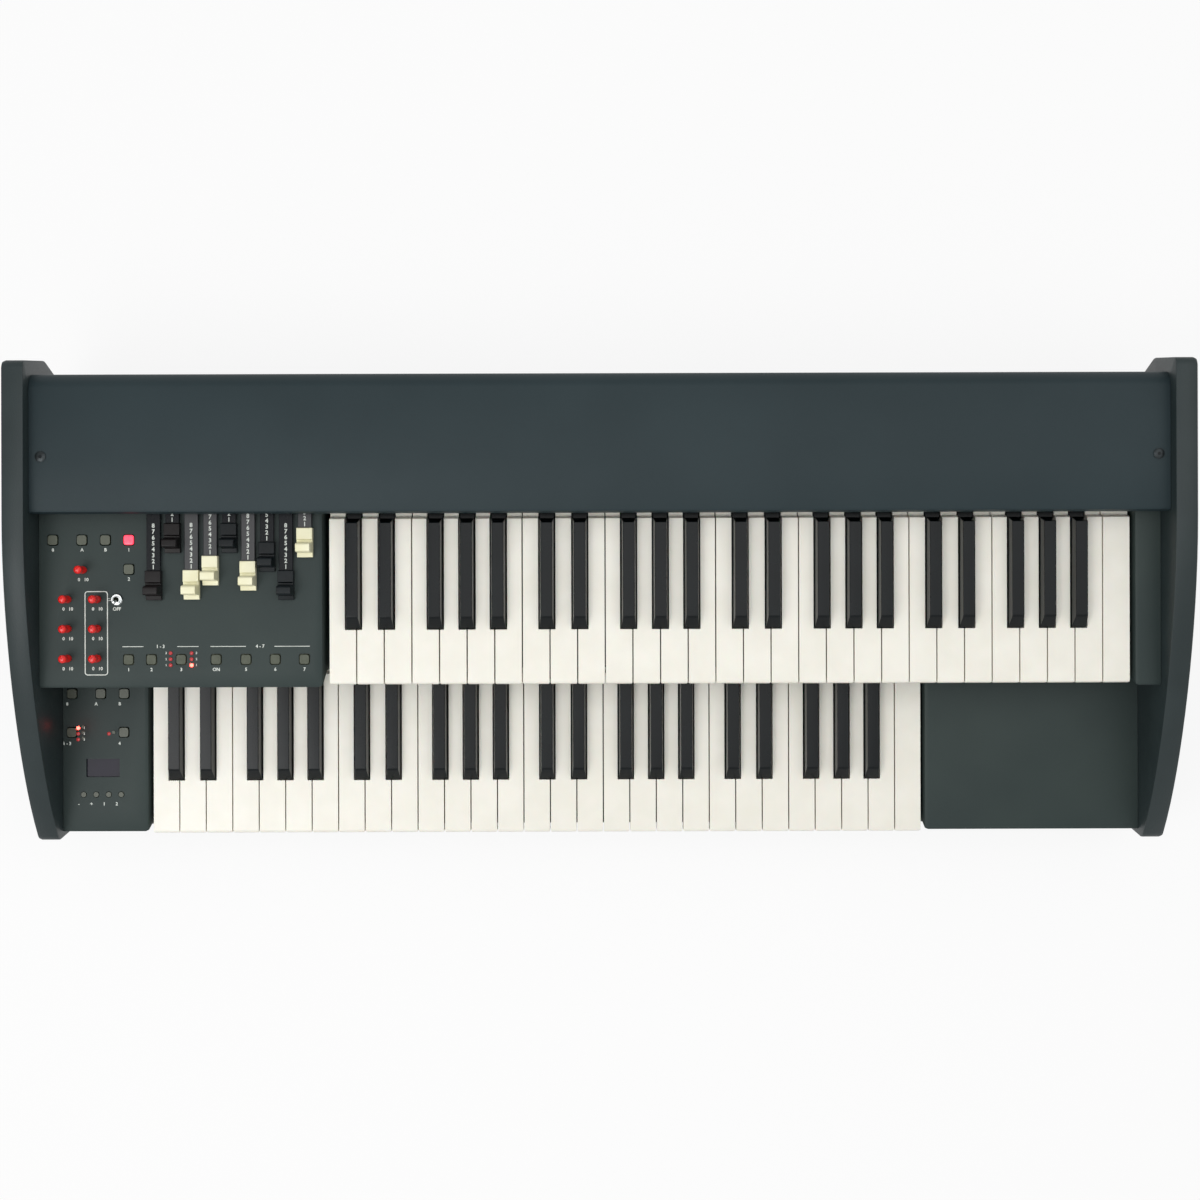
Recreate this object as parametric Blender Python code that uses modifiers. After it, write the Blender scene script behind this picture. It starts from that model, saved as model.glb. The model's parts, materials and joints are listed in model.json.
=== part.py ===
"""A portable two-manual organ with offset 49-key manuals, drawbars and rotary controls.

Metres, +Z up, +X to the player's right, the player at -Y.
The origin lies under the middle of the whole object, at the height of the table.
"""
import math

import bmesh
import bpy
from mathutils import Matrix, Vector
from mathutils.geometry import interpolate_bezier

# Clearances and stock
GAP = 0.0003
OVERCUT = 0.003
SHEET = 0.002
BEND_RADIUS = 0.0036
BOARD = 0.0016

# Cheeks, seen from the side
CHEEK_DEPTH = 0.4164
CHEEK_HEIGHT = 0.192
CHEEK_THICKNESS = 0.019
CHEEK_BOTTOM = 0.008
CHEEK_FLAT_END = 0.070
NOSE_HEIGHT = 0.088
REAR_BULGE_HEIGHT = 0.130
CHEEK_TUCK = 0.0087
CHEEK_REAR_TUCK = 0.0150
CHEEK_CORNER_RADIUS = 0.0065
CHEEK_OUTER_ROUNDING = 0.0035
CHEEK_INNER_ROUNDING = 0.001
CLEAT_THICKNESS = 0.014
CLEAT_HEIGHT = 0.014

# Body between the cheeks
BODY_WIDTH = 0.952
BASE_BOTTOM = 0.010
BASE_WALL_TOP = 0.052
BASE_FRONT = -0.1982
REAR_PANEL_TOP = 0.166
LID_TOP = 0.178
LID_FRONT = 0.0753
LID_BACK = 0.1922
REAR_PANEL_BACK = LID_BACK - SHEET - GAP
LID_CHAMFER = 0.0085
LID_LIP_BOTTOM = 0.160
LID_SCREW_X = 0.4657
LID_SCREW_Y = 0.1225
LID_SCREW_RADIUS = 0.0021

# Manuals
NATURAL_COUNT = 29
KEY_PITCH = 0.0235
KEY_GAP = 0.001
LOWER_KEY_TOP = 0.075
MANUAL_RISE = 0.070
UPPER_KEY_FRONT = -0.0696
LOWER_KEY_FRONT = -0.2040
UPPER_MANUAL_RIGHT = 0.4509
LOWER_MANUAL_SHIFT = 0.1664
HINGED_NATURALS = 7

# One key, measured back from its front face and up from the natural's top
NOSE_RADIUS = 0.003
CORNER_RADIUS = 0.0012
SKIRT_DROP = 0.020
SKIRT_THICKNESS = 0.0032
BODY_DROP = 0.013
PLAYING_LENGTH = 0.1409
HINGE_SETBACK = 0.1814
TAIL_TOP_DROP = 0.007
TAIL_DROP = 0.019
TAIL_START = 0.165
TAIL_OVERHANG = 0.008
SHARP_SETBACK = 0.0474
SHARP_WIDTH = 0.013
SHARP_TOP_WIDTH = 0.010
SHARP_RISE = 0.0115
SHARP_SLOPE_RUN = 0.0094
SHARP_BROW = 0.0008
SHARP_CLEARANCE = 0.0008
SHARP_OFFSETS = {0: -0.0026, 1: 0.0020, 3: -0.0035, 4: 0.0, 5: 0.0032}
NOTCH_HALF_WIDTH = 0.0021
NECK = 0.0023
COMB_STRIP = 0.005
NAMES_OF_NATURALS = ("c", "d", "e", "f", "g", "a", "b")

# Keybeds
RAIL_THICKNESS = 0.003
HINGE_DROP = 0.0155
KEY_DIP = 0.010
UPPER_FLOOR = 0.095
UPPER_FLOOR_BACK = 0.185
LOWER_KEYBED_WALL = 0.0036

# Control panels
PANEL_RISE = 0.004
UPPER_PANEL_FRONT = -0.0728
UPPER_PANEL_BACK = 0.160
UPPER_PANEL_SETBACK = 0.014
UPPER_PANEL_SLOPE = 0.030
LOWER_PANEL_FRONT = -0.2032
LOWER_PANEL_BACK = -0.010
LOWER_PANEL_SLOPE = 0.015
UPPER_PANEL_KEY_GAP = 0.0043
LOWER_PANEL_KEY_GAP = 0.0025
END_BLOCK_KEY_GAP = 0.0026
BLANK_PANEL_KEY_GAP = 0.0020

# Controls on the upper panel
BUTTON_SIDE = 0.008
BUTTON_RADIUS = 0.0018
BUTTON_CLEARANCE = 0.0008
BUTTON_RISE = 0.0014
BUTTON_TRAVEL = 0.001
BUTTON_FLANGE = 0.0015
BUTTON_FLANGE_HEIGHT = 0.0022
SWITCH_SIDE = 0.006
SWITCH_HEIGHT = 0.0035
ROW_BUTTONS = {
    "vibrato_upper_button": -0.3999,
    "vibrato_lower_button": -0.3805,
    "vibrato_type_button": -0.3553,
    "percussion_on_button": -0.3256,
    "percussion_soft_button": -0.3003,
    "percussion_fast_button": -0.2755,
    "percussion_third_button": -0.2508,
}
ROW_Y = -0.0477
UPPER_FIXED_BUTTONS = [
    (-0.4639, 0.0538),
    (-0.4392, 0.0538),
    (-0.4193, 0.0538),
    (-0.3995, 0.0538),
    (-0.3995, 0.0289),
]
UPPER_LEDS = [
    (x, y) for x in (-0.3642, -0.3464) for y in (-0.0423, -0.0474, -0.0525)
]
KNOB_PLACES = {
    "volume_knob": (-0.4383, 0.0285),
    "click_knob": (-0.4515, 0.0036),
    "level_knob": (-0.4264, 0.0036),
    "percussion_volume_knob": (-0.4515, -0.0214),
    "overdrive_knob": (-0.4264, -0.0214),
    "assignable_knob": (-0.4515, -0.0466),
    "tone_knob": (-0.4264, -0.0466),
}
KNOB_HEAD_RADIUS = 0.0036
KNOB_SHAFT_RADIUS = 0.003
KNOB_HEIGHT = 0.0195
KNOB_CLEARANCE = 0.0005
POT_SIDE = 0.0095
POT_HEIGHT = 0.005
TOGGLE_PLACE = (-0.4097, 0.0032)
TOGGLE_BUSH_RADIUS = 0.003
TOGGLE_NUT_RADIUS = 0.0045
TOGGLE_BORE = 0.0024
TOGGLE_LENGTH = 0.012
TOGGLE_TILT = math.radians(12)
LED_RADIUS = 0.0015
LED_RISE = 0.0005
LED_CLEARANCE = 0.0003
BOARD_DROP = 0.011

# Drawbars
DRAWBAR_COUNT = 9
DRAWBAR_PITCH = 0.016
DRAWBAR_FIRST_X = -0.3775
DRAWBAR_HOME_Y = 0.0426
DRAWBAR_STEP = 0.005
DRAWBAR_PULLS = (8, 0, 7.9, 5.5, 0, 6.4, 3.2, 8, 0.8)
STEM_WIDTH = 0.0115
STEM_HEIGHT = 0.0035
STEM_LIFT = 0.002
STEM_END = 0.146
DRAWBAR_KNOB_WIDTH = 0.0133
DRAWBAR_RIDGE_WIDTH = 0.012
HOUSING_FRONT = 0.080
HOUSING_BACK = 0.152
HOUSING_FLOOR = 0.0014
HOUSING_HEIGHT = 0.0085
GUIDE_THICKNESS = 0.004
GUIDE_SPACING = 0.020

# Controls on the lower panel
LOWER_FIXED_BUTTONS = [
    (-0.4675, -0.0799),
    (-0.4421, -0.0799),
    (-0.4214, -0.0799),
    (-0.4677, -0.1141),
    (-0.4217, -0.1141),
]
LOWER_LEDS = [(-0.4578, -0.1092), (-0.4578, -0.1142), (-0.4578, -0.1192), (-0.4308, -0.1142)]
TINY_BUTTON_RADIUS = 0.0023
TINY_BUTTON_Y = -0.1692
TINY_BUTTON_FIRST_X = -0.4575
TINY_BUTTON_PITCH = 0.01107
TINY_BUTTON_COUNT = 4
DISPLAY_CENTRE = (-0.44045, -0.1456)
DISPLAY_OPENING = (0.0295, 0.0161)
DISPLAY_BORDER = 0.002

# Sockets at the back
SOCKET_HEIGHT = 0.1126
JACK_XS = (-0.120, -0.095, -0.060, -0.035)
JACK_NOSE_RADIUS = 0.005
JACK_BORE_RADIUS = 0.0032
JACK_BORE_DEPTH = 0.020
ROUND_SOCKET_XS = (0.000, 0.030)
ROUND_SOCKET_RADIUS = 0.0075
USB_X = 0.065
USB_SIZE = (0.012, 0.011)
POWER_X = 0.105
POWER_BORE_RADIUS = 0.0018
SOCKET_CLEARANCE = 0.0004
SOCKET_BODY_DEPTH = 0.026
MAIN_BOARD_X = (-0.145, 0.125)
MAIN_BOARD_FRONT = 0.128

# Feet
FOOT_RADIUS = 0.011
FOOT_X = 0.430
FOOT_Y = 0.155

# Sizes that follow from the ones above
HALF_BODY = BODY_WIDTH / 2
SIDE = HALF_BODY - GAP
UPPER_KEY_TOP = LOWER_KEY_TOP + MANUAL_RISE
UPPER_PANEL_TOP = UPPER_KEY_TOP + PANEL_RISE
LOWER_PANEL_TOP = LOWER_KEY_TOP + PANEL_RISE
MANUAL_WIDTH = NATURAL_COUNT * KEY_PITCH
UPPER_MANUAL_LEFT = UPPER_MANUAL_RIGHT - MANUAL_WIDTH
LOWER_MANUAL_LEFT = UPPER_MANUAL_LEFT - LOWER_MANUAL_SHIFT
LOWER_MANUAL_RIGHT = LOWER_MANUAL_LEFT + MANUAL_WIDTH
UPPER_FLOOR_TOP = UPPER_FLOOR + SHEET
UPPER_FLOOR_FRONT = UPPER_PANEL_FRONT + UPPER_PANEL_SETBACK + SHEET + GAP
UPPER_BOARD_TOP = UPPER_PANEL_TOP - SHEET - BOARD_DROP
LOWER_BOARD_TOP = LOWER_PANEL_TOP - SHEET - BOARD_DROP

# Colours as linear values, with roughness and metallic
FINISHES = {
    "cheek_paint": ((0.020, 0.026, 0.029), 0.45, 0.0),
    "panel_paint": ((0.024, 0.030, 0.032), 0.5, 0.0),
    "natural_plastic": ((0.86, 0.85, 0.76), 0.3, 0.0),
    "sharp_plastic": ((0.012, 0.014, 0.016), 0.2, 0.0),
    "bare_steel": ((0.45, 0.46, 0.47), 0.4, 1.0),
    "red_plastic": ((0.70, 0.02, 0.02), 0.25, 0.0),
    "chrome_plate": ((0.80, 0.80, 0.80), 0.12, 1.0),
    "cream_plastic": ((0.80, 0.76, 0.58), 0.35, 0.0),
    "black_plastic": ((0.016, 0.016, 0.018), 0.35, 0.0),
    "brown_plastic": ((0.045, 0.020, 0.014), 0.35, 0.0),
    "button_plastic": ((0.09, 0.10, 0.07), 0.5, 0.0),
    "board_laminate": ((0.02, 0.09, 0.05), 0.5, 0.0),
    "display_glass": ((0.030, 0.030, 0.045), 0.1, 0.0),
    "foot_rubber": ((0.02, 0.02, 0.02), 0.8, 0.0),
}
DRAWBAR_FINISHES = (
    "brown_plastic",
    "brown_plastic",
    "cream_plastic",
    "cream_plastic",
    "black_plastic",
    "cream_plastic",
    "black_plastic",
    "black_plastic",
    "cream_plastic",
)


def clear_scene():
    for obj in list(bpy.data.objects):
        bpy.data.objects.remove(obj, do_unlink=True)


def new_collection(name):
    collection = bpy.data.collections.new(name)
    bpy.context.scene.collection.children.link(collection)
    return collection


def make_material(name):
    colour, roughness, metallic = FINISHES[name]
    material = bpy.data.materials.new(name)
    material.use_nodes = True
    shader = material.node_tree.nodes["Principled BSDF"]
    shader.inputs["Base Color"].default_value = (*colour, 1.0)
    shader.inputs["Roughness"].default_value = roughness
    shader.inputs["Metallic"].default_value = metallic
    material.diffuse_color = (*colour, 1.0)
    return material


clear_scene()
ORGAN = new_collection("spinet_organ")
CUTTERS = new_collection("cutters")
MATERIALS = {name: make_material(name) for name in FINISHES}


def place(obj, finish):
    """Puts an object among the organ's pieces, or among the cutters when it has no finish."""
    if finish is None:
        CUTTERS.objects.link(obj)
        obj.hide_render = True
        obj.display_type = "WIRE"
        return obj
    ORGAN.objects.link(obj)
    obj.data.materials.clear()
    obj.data.materials.append(MATERIALS[finish])
    return obj


def object_of(name, bm, finish=None):
    mesh = bpy.data.meshes.new(name)
    bmesh.ops.recalc_face_normals(bm, faces=bm.faces)
    bm.to_mesh(mesh)
    bm.free()
    return place(bpy.data.objects.new(name, mesh), finish)


def mesh_of_curve(name, curve, matrix, finish):
    """Turns a filled curve into a closed mesh in world space."""
    guide = bpy.data.objects.new(name + "_curve", curve)
    guide.matrix_world = matrix
    bpy.context.scene.collection.objects.link(guide)
    graph = bpy.context.evaluated_depsgraph_get()
    mesh = bpy.data.meshes.new_from_object(guide.evaluated_get(graph))
    mesh.transform(matrix)
    bpy.data.objects.remove(guide, do_unlink=True)
    bm = bmesh.new()
    bm.from_mesh(mesh)
    bpy.data.meshes.remove(mesh)
    bmesh.ops.remove_doubles(bm, verts=bm.verts, dist=1e-6)
    bmesh.ops.dissolve_degenerate(bm, edges=bm.edges, dist=1e-7)
    return object_of(name, bm, finish)


AXIS_FRAMES = {
    "X": Matrix(((0, 0, 1), (1, 0, 0), (0, 1, 0))),
    "Y": Matrix(((1, 0, 0), (0, 0, -1), (0, 1, 0))),
    "Z": Matrix.Identity(3),
}


def outline_frame(axis, low, high):
    """Where an outline lies: (Y, Z) points along X, (X, Z) points along Y, (X, Y) along Z."""
    middle = (low + high) / 2
    offset = {"X": (middle, 0, 0), "Y": (0, middle, 0), "Z": (0, 0, middle)}[axis]
    return Matrix.Translation(offset) @ AXIS_FRAMES[axis].to_4x4()


def flat_curve(name, low, high):
    curve = bpy.data.curves.new(name, "CURVE")
    curve.dimensions = "2D"
    curve.fill_mode = "BOTH"
    curve.extrude = (high - low) / 2
    return curve


def prism(name, points, axis, low, high, finish=None):
    """An outline of straight sides, extruded along an axis from low to high."""
    curve = flat_curve(name, low, high)
    spline = curve.splines.new("POLY")
    spline.points.add(len(points) - 1)
    for knot, (a, b) in zip(spline.points, points):
        knot.co = (a, b, 0, 1)
    spline.use_cyclic_u = True
    return mesh_of_curve(name, curve, outline_frame(axis, low, high), finish)


def box(name, low, high, finish=None):
    bm = bmesh.new()
    bmesh.ops.create_cube(bm, size=1)
    low, high = Vector(low), Vector(high)
    bmesh.ops.scale(bm, vec=high - low, verts=bm.verts)
    bmesh.ops.translate(bm, vec=(low + high) / 2, verts=bm.verts)
    return object_of(name, bm, finish)


def cylinder(name, centre, radius, low, high, finish=None, axis="Z", sides=12):
    """A cylinder along Z, or along Y with centre given as (x, z)."""
    bm = bmesh.new()
    bmesh.ops.create_cone(
        bm, cap_ends=True, segments=sides, radius1=radius, radius2=radius, depth=high - low
    )
    middle = (low + high) / 2
    if axis == "Y":
        bmesh.ops.rotate(bm, matrix=Matrix.Rotation(math.radians(90), 3, "X"), verts=bm.verts)
        spot = (centre[0], middle, centre[1])
    else:
        spot = (*centre, middle)
    bmesh.ops.translate(bm, vec=spot, verts=bm.verts)
    return object_of(name, bm, finish)


def rounded_square(name, centre, half_x, half_y, radius, low, high, finish=None):
    """An upright block with its four upright edges rounded."""
    bm = bmesh.new()
    bmesh.ops.create_cube(bm, size=1)
    bmesh.ops.scale(bm, vec=(2 * half_x, 2 * half_y, high - low), verts=bm.verts)
    bmesh.ops.translate(bm, vec=(*centre, (low + high) / 2), verts=bm.verts)
    upright = [
        edge
        for edge in bm.edges
        if abs(edge.verts[0].co.z - edge.verts[1].co.z) > (high - low) / 2
    ]
    bmesh.ops.bevel(
        bm, geom=upright, offset=radius, segments=2, profile=0.5, affect="EDGES"
    )
    return object_of(name, bm, finish)


def boolean(obj, other, operation):
    modifier = obj.modifiers.new(f"{operation.lower()} {other.name}", "BOOLEAN")
    modifier.operation = operation
    modifier.object = other
    modifier.solver = "EXACT"
    return obj


def boolean_all(obj, others, operation):
    """One Boolean with several pieces at once, held in a collection of their own."""
    group = bpy.data.collections.new(f"{obj.name}_{operation.lower()}")
    CUTTERS.children.link(group)
    for other in others:
        CUTTERS.objects.unlink(other)
        group.objects.link(other)
    modifier = obj.modifiers.new(operation.lower(), "BOOLEAN")
    modifier.operation = operation
    modifier.operand_type = "COLLECTION"
    modifier.collection = group
    modifier.solver = "EXACT"
    return obj


def set_origin(obj, point):
    """Moves an object's origin to a point, with its shape left where it is."""
    obj.data.transform(Matrix.Translation(-Vector(point)))
    obj.location = point


def turned(name, profile, centre, finish, steps=16):
    """A profile of (radius, z) pairs from top to bottom, turned round an upright axis."""
    bm = bmesh.new()
    verts = [bm.verts.new((radius, 0, z)) for radius, z in profile]
    for a, b in zip(verts, verts[1:]):
        bm.edges.new((a, b))
    mesh = bpy.data.meshes.new(name)
    bm.to_mesh(mesh)
    bm.free()
    obj = place(bpy.data.objects.new(name, mesh), finish)
    obj.location = centre
    screw = obj.modifiers.new("turn", "SCREW")
    screw.steps = steps
    screw.render_steps = steps
    screw.use_merge_vertices = True
    screw.merge_threshold = 0.00001
    screw.use_smooth_shade = True
    return obj


def arc(centre, radius, start, end, steps):
    """Points on an arc, angles in degrees."""
    return [
        (
            centre[0] + radius * math.cos(math.radians(start + (end - start) * i / steps)),
            centre[1] + radius * math.sin(math.radians(start + (end - start) * i / steps)),
        )
        for i in range(steps + 1)
    ]


def open_shell(obj, open_sides, wall=SHEET):
    """Leaves out the faces that look along the open sides, bends the rest and gives them a wall."""
    bm = bmesh.new()
    bm.from_mesh(obj.data)
    directions = [Vector(side) for side in open_sides]
    gone = [
        face
        for face in bm.faces
        if any(face.normal.dot(direction) > 0.99 for direction in directions)
    ]
    bmesh.ops.delete(bm, geom=gone, context="FACES")
    bmesh.ops.dissolve_limit(
        bm, angle_limit=math.radians(1), verts=bm.verts, edges=bm.edges
    )
    bm.to_mesh(obj.data)
    bm.free()
    bend = obj.modifiers.new("bend", "BEVEL")
    bend.width = BEND_RADIUS
    bend.segments = 2
    bend.limit_method = "ANGLE"
    bend.angle_limit = math.radians(15)
    skin = obj.modifiers.new("sheet", "SOLIDIFY")
    skin.thickness = wall
    skin.offset = -1
    skin.use_even_offset = True
    return obj


def cheek_outline():
    """The cheek from the side: a level top, one long sweep down to the nose, and a bulged back."""
    front, back = -CHEEK_DEPTH / 2, CHEEK_DEPTH / 2
    nose_top = (front + 0.0042, NOSE_HEIGHT + 0.006)
    sweep_handle = (nose_top[0] + 0.0613, nose_top[1] + 0.0536)
    corner = CHEEK_CORNER_RADIUS
    points = sweep((CHEEK_FLAT_END, CHEEK_HEIGHT), (CHEEK_FLAT_END - 0.0924, CHEEK_HEIGHT),
                   sweep_handle, nose_top, 16)
    points += sweep(nose_top, (nose_top[0] - 0.0026, nose_top[1] - 0.0023),
                    (front, NOSE_HEIGHT + 0.0015), (front, NOSE_HEIGHT - 0.003), 4)[1:]
    foot_front = front + CHEEK_TUCK
    points += arc((foot_front + corner, CHEEK_BOTTOM + corner), corner, 186, 270, 3)
    foot_back = back - CHEEK_REAR_TUCK
    points += arc((foot_back - corner, CHEEK_BOTTOM + corner), corner, 270, 360, 3)
    points += sweep((foot_back, REAR_BULGE_HEIGHT - 0.060), (foot_back, REAR_BULGE_HEIGHT - 0.052),
                    (foot_back + 0.001, REAR_BULGE_HEIGHT - 0.048),
                    (foot_back + 0.003, REAR_BULGE_HEIGHT - 0.042), 3)
    points += sweep((back - 0.001, REAR_BULGE_HEIGHT - 0.004), (back, REAR_BULGE_HEIGHT - 0.001),
                    (back, REAR_BULGE_HEIGHT + 0.002), (back - 0.0004, REAR_BULGE_HEIGHT + 0.005), 3)
    points += arc((back - 0.0064 - corner, CHEEK_HEIGHT - corner), corner, 8, 90, 3)
    return points


def sweep(start, start_handle, end_handle, end, steps):
    """Points along one cubic curve."""
    knots = [Vector((*point, 0)) for point in (start, start_handle, end_handle, end)]
    return [(point.x, point.y) for point in interpolate_bezier(*knots, steps + 1)]


def make_cheek(name, side):
    """A shaped side board, with the cleats that carry the lid and the upper deck."""
    inner = side * HALF_BODY
    outer = side * (HALF_BODY + CHEEK_THICKNESS)
    low, high = sorted((inner, outer))
    cheek = prism(name, cheek_outline(), "X", low, high, "cheek_paint")
    round_edges(cheek, outer, CHEEK_OUTER_ROUNDING, CHEEK_INNER_ROUNDING)
    x_low, x_high = sorted((inner - side * CLEAT_THICKNESS, inner + side * SHEET))
    lid_inside = LID_TOP - SHEET
    cleats = [
        box(
            name + "_lid_cleat",
            (x_low, LID_FRONT + 0.010, lid_inside - GAP - CLEAT_HEIGHT),
            (x_high, LID_BACK - LID_CHAMFER - 0.006, lid_inside - GAP),
        ),
        box(
            name + "_deck_cleat",
            (x_low, UPPER_FLOOR_FRONT + 0.010, UPPER_FLOOR - GAP - CLEAT_HEIGHT),
            (x_high, UPPER_FLOOR_BACK - 0.010, UPPER_FLOOR - GAP),
        ),
    ]
    boolean_all(cheek, cleats, "UNION")
    return cheek


def round_edges(obj, outer_x, outer_radius, inner_radius):
    """Bevels the rims of an upright board, the outer rim more than the inner one."""
    bm = bmesh.new()
    bm.from_mesh(obj.data)
    bmesh.ops.dissolve_limit(bm, angle_limit=math.radians(1), verts=bm.verts, edges=bm.edges)
    layer = bm.edges.layers.float.new("bevel_weight_edge")
    for edge in bm.edges:
        rim = abs(edge.verts[0].co.x - edge.verts[1].co.x) < 1e-6
        if rim and edge.calc_face_angle(0) > math.radians(60):
            on_outer = abs(edge.verts[0].co.x - outer_x) < 1e-5
            edge[layer] = 1.0 if on_outer else inner_radius / outer_radius
    bm.to_mesh(obj.data)
    bm.free()
    bevel = obj.modifiers.new("rims", "BEVEL")
    bevel.limit_method = "WEIGHT"
    bevel.width = outer_radius
    bevel.segments = 2
    bevel.use_clamp_overlap = False


def make_base_pan():
    """The bottom of the case, a tray folded from sheet."""
    pan = box(
        "base_pan",
        (-SIDE, BASE_FRONT, BASE_BOTTOM),
        (SIDE, REAR_PANEL_BACK - SHEET - GAP, BASE_WALL_TOP),
        "panel_paint",
    )
    return open_shell(pan, [(0, 0, 1)])


def make_feet():
    for x_name, x in (("left", -FOOT_X), ("right", FOOT_X)):
        for y_name, y in (("front", -FOOT_Y), ("rear", FOOT_Y)):
            top = BASE_BOTTOM - GAP
            profile = [
                (0, top),
                (FOOT_RADIUS, top),
                (FOOT_RADIUS, 0.003),
                (FOOT_RADIUS - 0.0012, 0),
                (0, 0),
            ]
            turned(f"foot_{y_name}_{x_name}", profile, (x, y, 0), "foot_rubber", 20)


def make_top_lid():
    """The flat rear lid, with a lip at the front and a chamfer along the back."""
    outline = [
        (LID_FRONT, LID_LIP_BOTTOM),
        (LID_FRONT, LID_TOP),
        (LID_BACK - LID_CHAMFER, LID_TOP),
        (LID_BACK, LID_TOP - LID_CHAMFER),
        (LID_BACK, LID_LIP_BOTTOM),
    ]
    lid = prism("top_lid", outline, "X", -SIDE, SIDE, "panel_paint")
    open_shell(lid, [(0, 0, -1), (1, 0, 0), (-1, 0, 0)])
    holes = [
        cylinder(
            f"lid_screw_hole_{side}",
            (side * LID_SCREW_X, LID_SCREW_Y),
            LID_SCREW_RADIUS,
            LID_TOP - 2 * SHEET,
            LID_TOP + OVERCUT,
            sides=12,
        )
        for side in (-1, 1)
    ]
    return boolean_all(lid, holes, "DIFFERENCE")


def make_rear_panel():
    """The upright back plate, with a hole for every socket."""
    panel = box(
        "rear_panel",
        (-SIDE, REAR_PANEL_BACK - SHEET, BASE_BOTTOM),
        (SIDE, REAR_PANEL_BACK, REAR_PANEL_TOP),
        "panel_paint",
    )
    front, back = REAR_PANEL_BACK - SHEET - OVERCUT, REAR_PANEL_BACK + OVERCUT
    rounds = [(x, JACK_NOSE_RADIUS) for x in (*JACK_XS, POWER_X)]
    rounds += [(x, ROUND_SOCKET_RADIUS) for x in ROUND_SOCKET_XS]
    holes = [
        cylinder(
            f"socket_hole_{i}",
            (x, SOCKET_HEIGHT),
            radius + SOCKET_CLEARANCE,
            front,
            back,
            axis="Y",
        )
        for i, (x, radius) in enumerate(rounds)
    ]
    half_width = USB_SIZE[0] / 2 + SOCKET_CLEARANCE
    half_height = USB_SIZE[1] / 2 + SOCKET_CLEARANCE
    holes.append(
        box(
            "usb_hole",
            (USB_X - half_width, front, SOCKET_HEIGHT - half_height),
            (USB_X + half_width, back, SOCKET_HEIGHT + half_height),
        )
    )
    return boolean_all(panel, holes, "DIFFERENCE")


def panel_outline(front, back, top, setback, slope, bottom):
    """A block's side: flat top, a front that leans back under it, then an upright flange."""
    return [
        (front + setback, bottom),
        (front + setback, top - slope),
        (front, top),
        (back, top),
        (back, bottom),
    ]


def upper_block(name, x_low, x_high, open_side):
    outline = panel_outline(
        UPPER_PANEL_FRONT,
        UPPER_PANEL_BACK,
        UPPER_PANEL_TOP,
        UPPER_PANEL_SETBACK,
        UPPER_PANEL_SLOPE,
        UPPER_FLOOR_TOP + GAP,
    )
    block = prism(name, outline, "X", x_low, x_high, "panel_paint")
    return open_shell(block, [(0, 0, -1), (0, 1, 0), (open_side, 0, 0)])


def lower_block(name, x_low, x_high, open_side):
    """A block beside the lower manual, with a rear upstand that closes it to the upper deck."""
    outline = panel_outline(
        LOWER_PANEL_FRONT,
        LOWER_PANEL_BACK,
        LOWER_PANEL_TOP,
        BASE_FRONT - LOWER_PANEL_FRONT,
        LOWER_PANEL_SLOPE,
        BASE_WALL_TOP + GAP,
    )
    block = prism(name, outline, "X", x_low, x_high, "panel_paint")
    open_shell(block, [(0, 0, -1), (0, 1, 0), (open_side, 0, 0)])
    inset = BEND_RADIUS + GAP
    clear_of_cleat = CLEAT_THICKNESS + GAP
    upstand = box(
        name + "_upstand",
        (
            x_low + (clear_of_cleat if open_side < 0 else inset),
            LOWER_PANEL_BACK - SHEET,
            LOWER_PANEL_TOP - SHEET * 0.75,
        ),
        (
            x_high - (clear_of_cleat if open_side > 0 else inset),
            LOWER_PANEL_BACK - GAP,
            UPPER_FLOOR - GAP,
        ),
    )
    return boolean(block, upstand, "UNION")


def button_hole(name, centre, top):
    half = BUTTON_SIDE / 2 + BUTTON_CLEARANCE
    return rounded_square(
        name, centre, half, half, BUTTON_RADIUS, top - 2 * SHEET, top + OVERCUT
    )


def round_hole(name, centre, radius, top, sides=12):
    return cylinder(
        name, centre, radius, top - 2 * SHEET, top + OVERCUT, sides=sides
    )


def make_upper_panel():
    right = UPPER_MANUAL_LEFT - UPPER_PANEL_KEY_GAP
    panel = upper_block("upper_panel", -SIDE, right, -1)
    top = UPPER_PANEL_TOP
    places = [(x, ROW_Y) for x in ROW_BUTTONS.values()] + UPPER_FIXED_BUTTONS
    holes = [button_hole(f"upper_button_hole_{i}", spot, top) for i, spot in enumerate(places)]
    knob_hole = KNOB_SHAFT_RADIUS + KNOB_CLEARANCE
    holes += [
        round_hole(name + "_hole", spot, knob_hole, top) for name, spot in KNOB_PLACES.items()
    ]
    holes += [
        round_hole(f"upper_led_hole_{i}", spot, LED_RADIUS + LED_CLEARANCE, top, 8)
        for i, spot in enumerate(UPPER_LEDS)
    ]
    bush_hole = TOGGLE_BUSH_RADIUS + KNOB_CLEARANCE
    holes.append(round_hole("toggle_hole", TOGGLE_PLACE, bush_hole, top))
    return boolean_all(panel, holes, "DIFFERENCE")


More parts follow.
